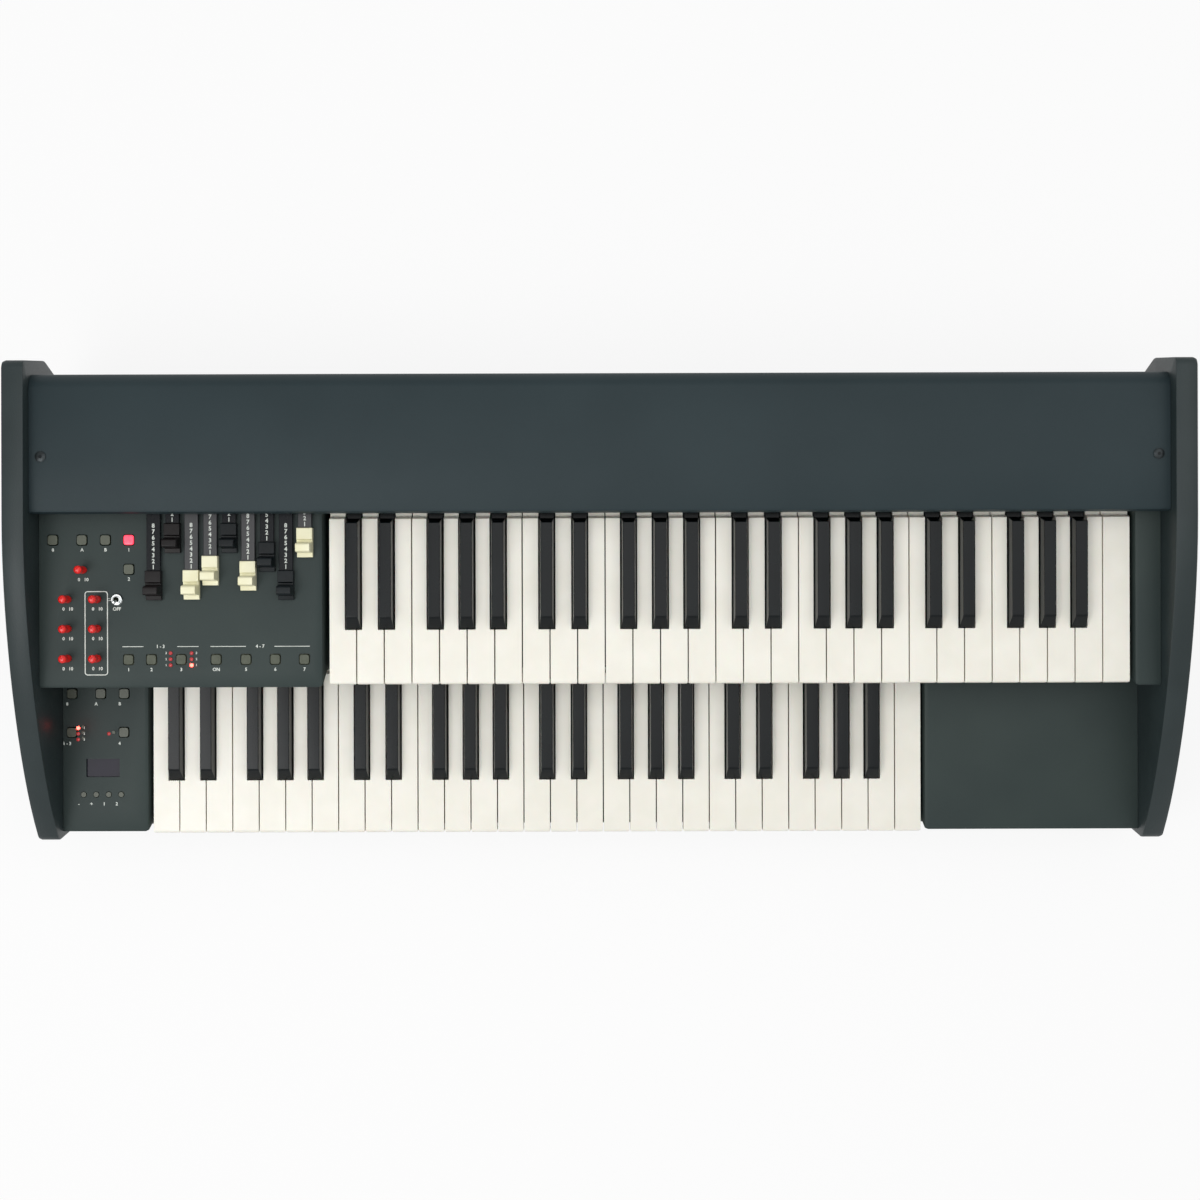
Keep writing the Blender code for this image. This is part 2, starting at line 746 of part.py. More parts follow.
def make_lower_panel():
    right = LOWER_MANUAL_LEFT - LOWER_PANEL_KEY_GAP
    panel = lower_block("lower_panel", -SIDE, right, -1)
    top = LOWER_PANEL_TOP
    holes = [
        button_hole(f"lower_button_hole_{i}", spot, top)
        for i, spot in enumerate(LOWER_FIXED_BUTTONS)
    ]
    holes += [
        round_hole(f"lower_led_hole_{i}", spot, LED_RADIUS + LED_CLEARANCE, top, 8)
        for i, spot in enumerate(LOWER_LEDS)
    ]
    holes += [
        round_hole(f"tiny_button_hole_{i}", spot, TINY_BUTTON_RADIUS + KNOB_CLEARANCE, top)
        for i, spot in enumerate(tiny_button_places())
    ]
    half_x, half_y = DISPLAY_OPENING[0] / 2, DISPLAY_OPENING[1] / 2
    x, y = DISPLAY_CENTRE
    holes.append(
        box(
            "display_hole",
            (x - half_x, y - half_y, top - 2 * SHEET),
            (x + half_x, y + half_y, top + OVERCUT),
        )
    )
    return boolean_all(panel, holes, "DIFFERENCE")


def tiny_button_places():
    return [
        (TINY_BUTTON_FIRST_X + i * TINY_BUTTON_PITCH, TINY_BUTTON_Y)
        for i in range(TINY_BUTTON_COUNT)
    ]


def make_keybed(name, left, key_front, key_top, floor, wall_front, wall_thickness):
    """The chassis under a manual: floor, front wall and the rail that the keys rock on."""
    hinge_y = key_front + HINGE_SETBACK
    hinge_z = key_top - HINGE_DROP
    half = RAIL_THICKNESS / 2
    wall_top = key_top - SKIRT_DROP - KEY_DIP - 0.002
    outline = [
        (wall_front, floor),
        (hinge_y + TAIL_OVERHANG, floor),
        (hinge_y + TAIL_OVERHANG, floor + SHEET),
        (hinge_y + half, floor + SHEET),
        *arc((hinge_y, hinge_z), half, 0, 180, 4),
        (hinge_y - half, floor + SHEET),
        (wall_front + wall_thickness, floor + SHEET),
        (wall_front + wall_thickness, wall_top),
        (wall_front, wall_top),
    ]
    return prism(name, outline, "X", left, left + MANUAL_WIDTH, "bare_steel")


def make_upper_keybed():
    """The upper manual's chassis, on the deck that spans the cheeks and carries the panels."""
    bed = make_keybed(
        "upper_keybed",
        UPPER_MANUAL_LEFT,
        UPPER_KEY_FRONT,
        UPPER_KEY_TOP,
        UPPER_FLOOR,
        UPPER_FLOOR_FRONT,
        SHEET,
    )
    deck = box(
        "upper_deck",
        (-SIDE, UPPER_FLOOR_FRONT, UPPER_FLOOR),
        (SIDE, UPPER_FLOOR_BACK, UPPER_FLOOR_TOP),
    )
    return boolean(bed, deck, "UNION")


def make_lower_keybed():
    return make_keybed(
        "lower_keybed",
        LOWER_MANUAL_LEFT,
        LOWER_KEY_FRONT,
        LOWER_KEY_TOP,
        BASE_BOTTOM + SHEET + GAP,
        BASE_FRONT + LOWER_KEYBED_WALL,
        SHEET,
    )


def sharp_centre(left, index):
    """Centre of the sharp above a natural's right-hand edge, or None where there is none."""
    offset = SHARP_OFFSETS.get(index % 7)
    if offset is None or index < 0 or index >= NATURAL_COUNT - 1:
        return None
    return left + (index + 1) * KEY_PITCH + offset


def natural_path(left, index, key_front, rear):
    """A natural seen from above, from its left rear corner round the front to its right rear."""
    slot = SHARP_WIDTH / 2 + SHARP_CLEARANCE
    x_low = left + index * KEY_PITCH + KEY_GAP / 2
    x_high = x_low + KEY_PITCH - KEY_GAP
    front = key_front - 0.00005
    shoulder = key_front + SHARP_SETBACK - SHARP_CLEARANCE
    sharp_before = sharp_centre(left, index - 1)
    sharp_after = sharp_centre(left, index)
    r = CORNER_RADIUS
    path = []
    if sharp_before is None:
        path += [(x_low, rear)]
    else:
        path += [(sharp_before + slot, rear), (sharp_before + slot, shoulder), (x_low, shoulder)]
    path += arc((x_low + r, front + r), r, 180, 270, 2)
    path += arc((x_high - r, front + r), r, 270, 360, 2)
    if sharp_after is None:
        path += [(x_high, rear)]
    else:
        path += [(x_high, shoulder), (sharp_after - slot, shoulder), (sharp_after - slot, rear)]
    return path


def sharp_path(centre, key_front, rear):
    half = SHARP_WIDTH / 2
    front = key_front + SHARP_SETBACK - OVERCUT
    return [
        (centre - half, rear),
        (centre - half, front),
        (centre + half, front),
        (centre + half, rear),
    ]


def natural_profile(key_front, key_top, comb):
    """A natural from the side: rounded nose, skirt, tail and the notch over the rail."""
    hinge = key_front + HINGE_SETBACK
    end = key_front + PLAYING_LENGTH
    skirt = key_front + SKIRT_THICKNESS
    tail_top = key_top - TAIL_TOP_DROP
    tail_low = key_top - TAIL_DROP
    body_low = key_top - BODY_DROP
    notch_top = key_top - HINGE_DROP + RAIL_THICKNESS / 2 + GAP
    points = [(key_front, key_top - SKIRT_DROP)]
    points += arc((key_front + NOSE_RADIUS, key_top - NOSE_RADIUS), NOSE_RADIUS, 180, 90, 2)
    points += [(end, key_top), (end + 0.0015, key_top - 0.0025), (end + 0.002, tail_top)]
    if comb:
        step = hinge + NOTCH_HALF_WIDTH + NECK
        points += [(step, tail_top), (step, notch_top), (step + COMB_STRIP, notch_top)]
        points += [(step + COMB_STRIP, tail_low)]
    else:
        points += [(hinge + TAIL_OVERHANG, tail_top), (hinge + TAIL_OVERHANG, tail_low)]
    points += rail_notch(hinge, tail_low, notch_top)
    points += [
        (key_front + TAIL_START, tail_low),
        (key_front + TAIL_START - 0.005, body_low),
        (skirt, body_low),
        (skirt, key_top - SKIRT_DROP),
    ]
    return points


def sharp_profile(key_front, key_top, comb):
    """A sharp from the side: sloped nose, top, tail and the notch over the rail."""
    hinge = key_front + HINGE_SETBACK
    front = key_front + SHARP_SETBACK
    end = key_front + PLAYING_LENGTH
    top = key_top + SHARP_RISE
    tail_top = key_top - TAIL_TOP_DROP
    tail_low = key_top - TAIL_DROP
    body_low = key_top - BODY_DROP
    notch_top = key_top - HINGE_DROP + RAIL_THICKNESS / 2 + GAP
    points = [
        (front, body_low),
        (front, key_top + SHARP_BROW),
        (front + SHARP_SLOPE_RUN - 0.001, top - 0.0012),
        (front + SHARP_SLOPE_RUN + 0.0015, top),
        (end - 0.0035, top),
        (end, key_top + SHARP_BROW),
        (end, tail_top),
    ]
    if comb:
        strip = hinge + NOTCH_HALF_WIDTH + NECK + 2 * GAP
        step = strip - 4 * GAP
        points += [(strip + COMB_STRIP, tail_top), (strip + COMB_STRIP, notch_top + GAP)]
        points += [(step, notch_top + GAP), (step, tail_low)]
    else:
        points += [(hinge + TAIL_OVERHANG, tail_top), (hinge + TAIL_OVERHANG, tail_low)]
    points += rail_notch(hinge, tail_low, notch_top)
    points += [(key_front + TAIL_START, tail_low), (key_front + TAIL_START - 0.005, body_low)]
    return points


def rail_notch(hinge, tail_low, notch_top):
    """The notch that sits over the rail, walked from rear to front."""
    return [
        (hinge + NOTCH_HALF_WIDTH, tail_low),
        (hinge + NOTCH_HALF_WIDTH, notch_top),
        (hinge - NOTCH_HALF_WIDTH, notch_top),
        (hinge - NOTCH_HALF_WIDTH, tail_low),
    ]


def sharp_taper(name, left, key_top):
    """The sharps' tops seen from the front, standing on a bar as wide as the manual."""
    low = key_top - TAIL_DROP - OVERCUT
    bar_top = key_top - TAIL_TOP_DROP + 2 * GAP
    top = key_top + SHARP_RISE
    lean = (SHARP_WIDTH - SHARP_TOP_WIDTH) / 2 / SHARP_RISE
    foot_half = SHARP_WIDTH / 2 + lean * (key_top - bar_top)
    head_half = SHARP_TOP_WIDTH / 2 - lean * OVERCUT
    points = [(left - OVERCUT, low), (left - OVERCUT, bar_top)]
    for index in range(NATURAL_COUNT):
        centre = sharp_centre(left, index)
        if centre is None:
            continue
        points += [
            (centre - foot_half, bar_top),
            (centre - head_half, top + OVERCUT),
            (centre + head_half, top + OVERCUT),
            (centre + foot_half, bar_top),
        ]
    right = left + MANUAL_WIDTH + OVERCUT
    points += [(right, bar_top), (right, low)]
    return points


class Manual:
    """The cutters of one manual, which shape its hinged keys and its combs alike."""

    def __init__(self, name, left, key_front, key_top):
        self.name = name
        self.left = left
        self.front = key_front
        self.top = key_top
        self.hinge_y = key_front + HINGE_SETBACK
        self.hinge_z = key_top - HINGE_DROP
        low, high = left - OVERCUT, left + MANUAL_WIDTH + OVERCUT
        self.cutters = {}
        for comb in (False, True):
            kind = "comb" if comb else "key"
            for colour, profile in (("natural", natural_profile), ("sharp", sharp_profile)):
                self.cutters[colour, comb] = prism(
                    f"{name}_{colour}_{kind}_profile",
                    profile(key_front, key_top, comb),
                    "X",
                    low,
                    high,
                )
        self.taper = prism(
            name + "_sharp_taper",
            sharp_taper(name, left, key_top),
            "Y",
            key_front,
            self.hinge_y + 2 * HINGE_DROP,
        )
        self.low = key_top - SKIRT_DROP - OVERCUT
        self.high = key_top + SHARP_RISE + OVERCUT

    def solid(self, name, outline, colour, comb):
        """Cuts a plan outline to the side profile, and a sharp to its taper too."""
        finish = "natural_plastic" if colour == "natural" else "sharp_plastic"
        obj = prism(name, outline, "Z", self.low, self.high, finish)
        boolean(obj, self.cutters[colour, comb], "INTERSECT")
        if colour == "sharp":
            boolean(obj, self.taper, "INTERSECT")
        return obj

    def hinged(self, name, outline, colour):
        obj = self.solid(name, outline, colour, False)
        xs = [point[0] for point in outline]
        set_origin(obj, ((min(xs) + max(xs)) / 2, self.hinge_y, self.hinge_z))
        return obj

    def hinged_octave(self):
        """The keys of the lowest octave, each on its own hinge."""
        rear = self.hinge_y + TAIL_OVERHANG + OVERCUT
        for index in range(HINGED_NATURALS):
            path = natural_path(self.left, index, self.front, rear)
            self.hinged(f"key_{NAMES_OF_NATURALS[index]}", path, "natural")
            centre = sharp_centre(self.left, index)
            if centre is not None:
                path = sharp_path(centre, self.front, rear)
                self.hinged(f"key_{NAMES_OF_NATURALS[index]}_sharp", path, "sharp")

    def combs(self, first):
        """The remaining keys as two mouldings, each joined by a strip behind the rail."""
        strip_front = self.hinge_y + NOTCH_HALF_WIDTH + NECK + GAP
        strip_back = strip_front + COMB_STRIP + OVERCUT
        outline = []
        for index in range(first, NATURAL_COUNT):
            outline += natural_path(self.left, index, self.front, strip_front)
        outline += [(outline[-1][0], strip_back), (outline[0][0], strip_back)]
        self.solid(f"{self.name}_naturals", outline, "natural", True)
        strip_front += GAP
        outline = []
        for index in range(first, NATURAL_COUNT):
            centre = sharp_centre(self.left, index)
            if centre is not None:
                outline += sharp_path(centre, self.front, strip_front)
        outline += [(outline[-1][0], strip_back), (outline[0][0], strip_back)]
        self.solid(f"{self.name}_sharps", outline, "sharp", True)


def make_button(name, x, y):
    """A cap with the flange that holds it under the panel and the stem over its switch."""
    underside = UPPER_PANEL_TOP - SHEET
    flange_top = underside - GAP
    stem_low = UPPER_BOARD_TOP + SWITCH_HEIGHT + BUTTON_TRAVEL + GAP
    half = BUTTON_SIDE / 2
    wide = half + BUTTON_FLANGE
    flange_low = flange_top - BUTTON_FLANGE_HEIGHT
    button = rounded_square(
        name, (x, y), half, half, BUTTON_RADIUS, flange_low, UPPER_PANEL_TOP + BUTTON_RISE,
        "button_plastic",
    )
    flange = box(
        name + "_flange", (x - wide, y - wide, flange_low - 0.0002), (x + wide, y + wide, flange_top)
    )
    stem = box(
        name + "_stem", (x - 0.002, y - 0.002, stem_low), (x + 0.002, y + 0.002, flange_top - 0.0005)
    )
    boolean_all(button, [flange, stem], "UNION")
    set_origin(button, (x, y, UPPER_PANEL_TOP))
    return button


def make_knob(name, x, y):
    """A slim turned knob with a waist, an indicator slot across its head and its own shaft."""
    panel = UPPER_PANEL_TOP
    low = UPPER_BOARD_TOP + POT_HEIGHT + GAP
    shaft = KNOB_SHAFT_RADIUS
    head = KNOB_HEAD_RADIUS
    z = panel + KNOB_HEIGHT
    dome = [
        (head * math.sin(math.radians(a)), z - 0.0028 + 0.0028 * math.cos(math.radians(a)))
        for a in (0, 35, 65, 90)
    ]
    profile = dome + [
        (head, z - 0.0065),
        (0.0026, z - 0.0085),
        (0.0023, z - 0.0115),
        (shaft, z - 0.0135),
        (0.0034, z - 0.0150),
        (0.0034, panel + GAP),
        (shaft, panel + GAP),
        (shaft, low),
        (0, low),
    ]
    knob = turned(name, [(radius, height - panel) for radius, height in profile],
                  (x, y, panel), "red_plastic", 12)
    slot = box(
        name + "_slot", (x - 0.0004, y, z - 0.0012), (x + 0.0004, y + 2 * head, z + OVERCUT)
    )
    return boolean(knob, slot, "DIFFERENCE")


def make_toggle_lever():
    """The bat lever, leaning to its rest side about the ball in the bush."""
    profile = [
        (0, TOGGLE_LENGTH),
        (0.0011, TOGGLE_LENGTH - 0.0003),
        (0.0016, TOGGLE_LENGTH - 0.0015),
        (0.0015, TOGGLE_LENGTH - 0.004),
        (0.0010, 0.0022),
        (0.0014, 0.0012),
        (0.0019, 0),
        (0.0014, -0.0013),
        (0, -0.0019),
    ]
    lever = turned("toggle_lever", profile, (*TOGGLE_PLACE, toggle_pivot()), "chrome_plate", 12)
    lever.rotation_euler = (TOGGLE_TILT, 0, 0)
    return lever


def toggle_pivot():
    return UPPER_PANEL_TOP + 0.0005


def board_posts(name, board_top, panel_top, places):
    """Stand-offs that hold a board under its panel."""
    return [
        cylinder(
            f"{name}_post_{i}", spot, 0.0025, board_top - BOARD / 2, panel_top - SHEET - GAP, sides=8
        )
        for i, spot in enumerate(places)
    ]


def led_posts(name, board_top, panel_top, places):
    return [
        cylinder(
            f"{name}_led_{i}", spot, LED_RADIUS, board_top - BOARD / 2, panel_top + LED_RISE, sides=10
        )
        for i, spot in enumerate(places)
    ]


def cap_columns(name, board_top, panel_top, places):
    """Button caps on their switches, one piece with the board that carries them."""
    half = BUTTON_SIDE / 2
    return [
        rounded_square(
            f"{name}_cap_{i}", spot, half, half, BUTTON_RADIUS, board_top - BOARD / 2,
            panel_top + BUTTON_RISE,
        )
        for i, spot in enumerate(places)
    ]


def make_upper_control_board():
    """The board under the upper panel, with switches, potentiometers, lights and toggle."""
    top = UPPER_BOARD_TOP
    panel = UPPER_PANEL_TOP
    front = UPPER_PANEL_FRONT + UPPER_PANEL_SETBACK + 0.005
    board = box(
        "upper_control_board",
        (-SIDE + 0.0035, front, top - BOARD),
        (UPPER_MANUAL_LEFT - UPPER_PANEL_KEY_GAP - SHEET - 0.003, LID_FRONT - 0.012, top),
        "board_laminate",
    )
    low = top - BOARD / 2
    parts = [
        box(f"{name}_switch", (x - SWITCH_SIDE / 2, ROW_Y - SWITCH_SIDE / 2, low),
            (x + SWITCH_SIDE / 2, ROW_Y + SWITCH_SIDE / 2, top + SWITCH_HEIGHT))
        for name, x in ROW_BUTTONS.items()
    ]
    parts += [
        box(f"{name}_pot", (x - POT_SIDE / 2, y - POT_SIDE / 2, low),
            (x + POT_SIDE / 2, y + POT_SIDE / 2, top + POT_HEIGHT))
        for name, (x, y) in KNOB_PLACES.items()
    ]
    parts += led_posts("upper", top, panel, UPPER_LEDS)
    parts += cap_columns("upper", top, panel, UPPER_FIXED_BUTTONS)
    posts = [(-0.468, 0.030), (-0.468, -0.046), (-0.245, 0.040), (-0.245, -0.036)]
    parts += board_posts("upper_board", top, panel, posts)
    x, y = TOGGLE_PLACE
    body_top = panel - SHEET - GAP
    parts.append(box("toggle_body", (x - 0.004, y - 0.006, low), (x + 0.004, y + 0.006, body_top)))
    parts.append(cylinder("toggle_bush", TOGGLE_PLACE, TOGGLE_BUSH_RADIUS, low, panel + 0.0035))
    parts.append(
        cylinder("toggle_nut", TOGGLE_PLACE, TOGGLE_NUT_RADIUS, panel + GAP, panel + 0.0018, sides=12)
    )
    boolean_all(board, parts, "UNION")
    bore = cylinder("toggle_bore", TOGGLE_PLACE, TOGGLE_BORE, toggle_pivot() - 0.0028,
                    panel + 0.0035 + OVERCUT)
    return boolean(board, bore, "DIFFERENCE")


def make_lower_control_board():
    """The board under the lower panel, with its caps, lights and the four tiny buttons."""
    top = LOWER_BOARD_TOP
    panel = LOWER_PANEL_TOP
    board = box(
        "lower_control_board",
        (-SIDE + 0.0035, BASE_FRONT + 0.016, top - BOARD),
        (LOWER_MANUAL_LEFT - LOWER_PANEL_KEY_GAP - SHEET - 0.0015, -0.066, top),
        "board_laminate",
    )
    parts = led_posts("lower", top, panel, LOWER_LEDS)
    parts += cap_columns("lower", top, panel, LOWER_FIXED_BUTTONS)
    parts += [
        cylinder(
            f"tiny_button_{i}", spot, TINY_BUTTON_RADIUS, top - BOARD / 2, panel + 0.0006, sides=12
        )
        for i, spot in enumerate(tiny_button_places())
    ]
    parts += board_posts(
        "lower_board", top, panel,
        [(-0.468, -0.072), (-0.408, -0.072), (-0.468, -0.177), (-0.408, -0.177)],
    )
    return boolean_all(board, parts, "UNION")


def make_display_module():
    """The display under its opening, between the board and the panel."""
    x, y = DISPLAY_CENTRE
    half_x = DISPLAY_OPENING[0] / 2 + DISPLAY_BORDER
    half_y = DISPLAY_OPENING[1] / 2 + DISPLAY_BORDER
    return box(
        "display_module",
        (x - half_x, y - half_y, LOWER_BOARD_TOP + GAP),
        (x + half_x, y + half_y, LOWER_PANEL_TOP - SHEET - GAP),
        "display_glass",
    )


def drawbar_x(index):
    return DRAWBAR_FIRST_X + index * DRAWBAR_PITCH


def make_drawbar(index):
    """One pull bar: a flat stem and a knob with a low rear block, a ridge and a front lip."""
    x = drawbar_x(index)
    pull = DRAWBAR_PULLS[index] * DRAWBAR_STEP
    front = DRAWBAR_HOME_Y - pull
    panel = UPPER_PANEL_TOP
    low = panel + 0.0008
    outline = [
        (front, low),
        (front, panel + 0.0045),
        (front + 0.0038, panel + 0.0055),
        (front + 0.0044, panel + 0.0185),
        (front + 0.0056, panel + 0.0195),
        (front + 0.0104, panel + 0.0195),
        (front + 0.0116, panel + 0.0185),
        (front + 0.0126, panel + 0.0072),
        (front + 0.0145, panel + 0.0072),
        (front + 0.0150, panel + 0.0088),
        (front + 0.0246, panel + 0.0088),
        (front + 0.0250, panel + 0.0080),
        (front + 0.0250, low),
    ]
    half = DRAWBAR_KNOB_WIDTH / 2
    name = f"drawbar_{index + 1}"
    bar = prism(name, outline, "X", x - half, x + half, DRAWBAR_FINISHES[index])
    narrow = DRAWBAR_RIDGE_WIDTH / 2
    taper = prism(
        name + "_taper",
        [
            (x - half - OVERCUT, low - OVERCUT),
            (x - half - OVERCUT, panel + 0.0090),
            (x - half, panel + 0.0090),
            (x - narrow, panel + 0.0200),
            (x + narrow, panel + 0.0200),
            (x + half, panel + 0.0090),
            (x + half + OVERCUT, panel + 0.0090),
            (x + half + OVERCUT, low - OVERCUT),
        ],
        "Y",
        front - OVERCUT,
        front + 0.025 + OVERCUT,
    )
    boolean(bar, taper, "INTERSECT")
    stem = box(
        name + "_stem",
        (x - STEM_WIDTH / 2, front + 0.015, panel + STEM_LIFT),
        (x + STEM_WIDTH / 2, STEM_END - pull, panel + STEM_LIFT + STEM_HEIGHT),
    )
    boolean(bar, stem, "UNION")
    set_origin(bar, (x, front, panel))
    return bar


def make_drawbar_housing():
    """The frame on the panel, behind the lid's lip, whose two combs guide the stems."""
    low = UPPER_PANEL_TOP + GAP
    floor = low + HOUSING_FLOOR
    high = low + HOUSING_HEIGHT
    side = DRAWBAR_PITCH / 2 + 0.0015
    x_low, x_high = drawbar_x(0) - side, drawbar_x(DRAWBAR_COUNT - 1) + side
    outline = [
        (HOUSING_FRONT, low),
        (HOUSING_FRONT, high),
        (HOUSING_FRONT + GUIDE_THICKNESS, high),
        (HOUSING_FRONT + GUIDE_THICKNESS, floor),
        (HOUSING_FRONT + GUIDE_SPACING, floor),
        (HOUSING_FRONT + GUIDE_SPACING, high),
        (HOUSING_FRONT + GUIDE_SPACING + GUIDE_THICKNESS, high),
        (HOUSING_FRONT + GUIDE_SPACING + GUIDE_THICKNESS, floor),
        (HOUSING_BACK - GUIDE_THICKNESS, floor),
        (HOUSING_BACK - GUIDE_THICKNESS, high),
        (HOUSING_BACK, high),
        (HOUSING_BACK, low),
    ]
    housing = prism("drawbar_housing", outline, "X", x_low, x_high, "bare_steel")
    half = STEM_WIDTH / 2 + GAP
    stem_low = UPPER_PANEL_TOP + STEM_LIFT
    windows = [
        box(
            f"drawbar_window_{i}",
            (drawbar_x(i) - half, HOUSING_FRONT - OVERCUT, stem_low - GAP),
            (drawbar_x(i) + half, HOUSING_BACK - GUIDE_THICKNESS - GAP, stem_low + STEM_HEIGHT + GAP),
        )
        for i in range(DRAWBAR_COUNT)
    ]
    return boolean_all(housing, windows, "DIFFERENCE")


def make_main_board():
    """The board on the upper deck that carries the sockets at the back."""
    low = UPPER_FLOOR_TOP + 0.006
    top = low + BOARD
    face = REAR_PANEL_BACK - SHEET - GAP
    x_low, x_high = MAIN_BOARD_X
    board = box(
        "main_board", (x_low, MAIN_BOARD_FRONT, low), (x_high, face - 0.003, top), "board_laminate"
    )
    parts = []
    for i, x in enumerate((x_low + 0.005, x_high - 0.005)):
        for j, y in enumerate((MAIN_BOARD_FRONT + 0.005, face - 0.009)):
            parts.append(
                cylinder(
                    f"main_post_{i}_{j}", (x, y), 0.0025, UPPER_FLOOR_TOP + GAP, low + BOARD / 2, sides=8
                )
            )
    bores = []
    for i, x in enumerate((*JACK_XS, POWER_X)):
        parts.append(
            box(
                f"jack_body_{i}",
                (x - 0.007, face - SOCKET_BODY_DEPTH, low + BOARD / 2),
                (x + 0.007, face, SOCKET_HEIGHT + 0.007),
            )
        )
        parts.append(
            cylinder(
                f"jack_nose_{i}", (x, SOCKET_HEIGHT), JACK_NOSE_RADIUS, face - 0.002,
                REAR_PANEL_BACK + 0.002, axis="Y",
            )
        )
        radius = POWER_BORE_RADIUS if x == POWER_X else JACK_BORE_RADIUS
        bores.append(
            cylinder(
                f"jack_bore_{i}", (x, SOCKET_HEIGHT), radius,
                REAR_PANEL_BACK + 0.002 - JACK_BORE_DEPTH, REAR_PANEL_BACK + OVERCUT, axis="Y",
            )
        )
    for i, x in enumerate(ROUND_SOCKET_XS):
        parts.append(
            box(
                f"round_socket_body_{i}",
                (x - 0.010, face - 0.012, low + BOARD / 2),
                (x + 0.010, face, SOCKET_HEIGHT + 0.010),
            )
        )
        parts.append(
            cylinder(
                f"round_socket_{i}", (x, SOCKET_HEIGHT), ROUND_SOCKET_RADIUS, face - 0.002,
                REAR_PANEL_BACK - 0.0005, axis="Y",
            )
        )
    half_x, half_z = USB_SIZE[0] / 2, USB_SIZE[1] / 2
    parts.append(
        box(
            "usb_body",
            (USB_X - half_x, face - 0.016, low + BOARD / 2),
            (USB_X + half_x, face, SOCKET_HEIGHT + half_z),
        )
    )
    parts.append(
        box(
            "usb_nose",
            (USB_X - half_x, face - 0.002, SOCKET_HEIGHT - half_z),
            (USB_X + half_x, REAR_PANEL_BACK - 0.0005, SOCKET_HEIGHT + half_z),
        )
    )
    boolean_all(board, parts, "UNION")
    return boolean_all(board, bores, "DIFFERENCE")


def build_case():
    make_cheek("left_cheek", -1)
    make_cheek("right_cheek", 1)
    make_base_pan()
    make_feet()
    make_rear_panel()
    make_top_lid()
    make_upper_panel()
    make_lower_panel()
    upper_block("upper_end_block", UPPER_MANUAL_RIGHT + END_BLOCK_KEY_GAP, SIDE, 1)
    lower_block("blank_panel", LOWER_MANUAL_RIGHT + BLANK_PANEL_KEY_GAP, SIDE, 1)


def build_manuals():
    make_upper_keybed()
    make_lower_keybed()
    upper = Manual("upper", UPPER_MANUAL_LEFT, UPPER_KEY_FRONT, UPPER_KEY_TOP)
    upper.hinged_octave()
    upper.combs(HINGED_NATURALS)
    lower = Manual("lower", LOWER_MANUAL_LEFT, LOWER_KEY_FRONT, LOWER_KEY_TOP)
    lower.combs(0)


def build_controls():
    make_upper_control_board()
    make_lower_control_board()
    make_display_module()
    make_drawbar_housing()
    for index in range(DRAWBAR_COUNT):
        make_drawbar(index)
    for name, x in ROW_BUTTONS.items():
        make_button(name, x, ROW_Y)
    for name, (x, y) in KNOB_PLACES.items():
        make_knob(name, x, y)
    make_toggle_lever()
    make_main_board()


build_case()
build_manuals()
build_controls()
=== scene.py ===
import json
import math

import bmesh
import bpy
from mathutils import Matrix, Vector


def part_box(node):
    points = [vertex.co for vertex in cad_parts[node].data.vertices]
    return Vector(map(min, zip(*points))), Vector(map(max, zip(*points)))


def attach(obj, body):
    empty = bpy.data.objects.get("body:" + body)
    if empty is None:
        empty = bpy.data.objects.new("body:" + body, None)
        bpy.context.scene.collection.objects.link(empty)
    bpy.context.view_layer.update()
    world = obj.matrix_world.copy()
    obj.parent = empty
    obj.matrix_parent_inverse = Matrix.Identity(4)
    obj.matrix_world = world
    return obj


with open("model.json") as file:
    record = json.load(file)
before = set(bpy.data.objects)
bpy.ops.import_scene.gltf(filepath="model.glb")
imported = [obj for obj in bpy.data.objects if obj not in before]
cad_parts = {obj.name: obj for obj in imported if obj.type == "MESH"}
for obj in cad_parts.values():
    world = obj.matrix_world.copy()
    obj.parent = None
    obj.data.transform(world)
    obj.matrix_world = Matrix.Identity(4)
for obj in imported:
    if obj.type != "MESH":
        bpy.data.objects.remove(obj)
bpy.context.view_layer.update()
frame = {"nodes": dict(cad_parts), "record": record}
print("frame loaded:", len(frame["nodes"]), "nodes")

mm = 0.001
up = Vector((0, 0, 1))


def toLinear(code):
    # "rrggbb" as drawn on a screen, to the linear values that shaders take
    values = [int(code[i:i + 2], 16) / 255 for i in (0, 2, 4)]
    return tuple(v / 12.92 if v <= 0.04045 else ((v + 0.055) / 1.055) ** 2.4 for v in values) + (1.0,)


def addNode(tree, kind, settings=None, links=None):
    # settings: attribute names, or input names and numbers; links: input -> output socket
    node = tree.nodes.new(kind)
    for name, value in (settings or {}).items():
        if isinstance(name, str) and hasattr(node, name):
            setattr(node, name, value)
        else:
            node.inputs[name].default_value = value
    for name, socket in (links or {}).items():
        tree.links.new(socket, node.inputs[name])
    return node


def newMaterial(name):
    material = bpy.data.materials.new(name)
    material.use_nodes = True
    material.node_tree.nodes.clear()
    return material, material.node_tree


def finishMaterial(tree, settings, links):
    shader = addNode(tree, "ShaderNodeBsdfPrincipled", settings, links)
    addNode(tree, "ShaderNodeOutputMaterial", None, {"Surface": shader.outputs[0]})


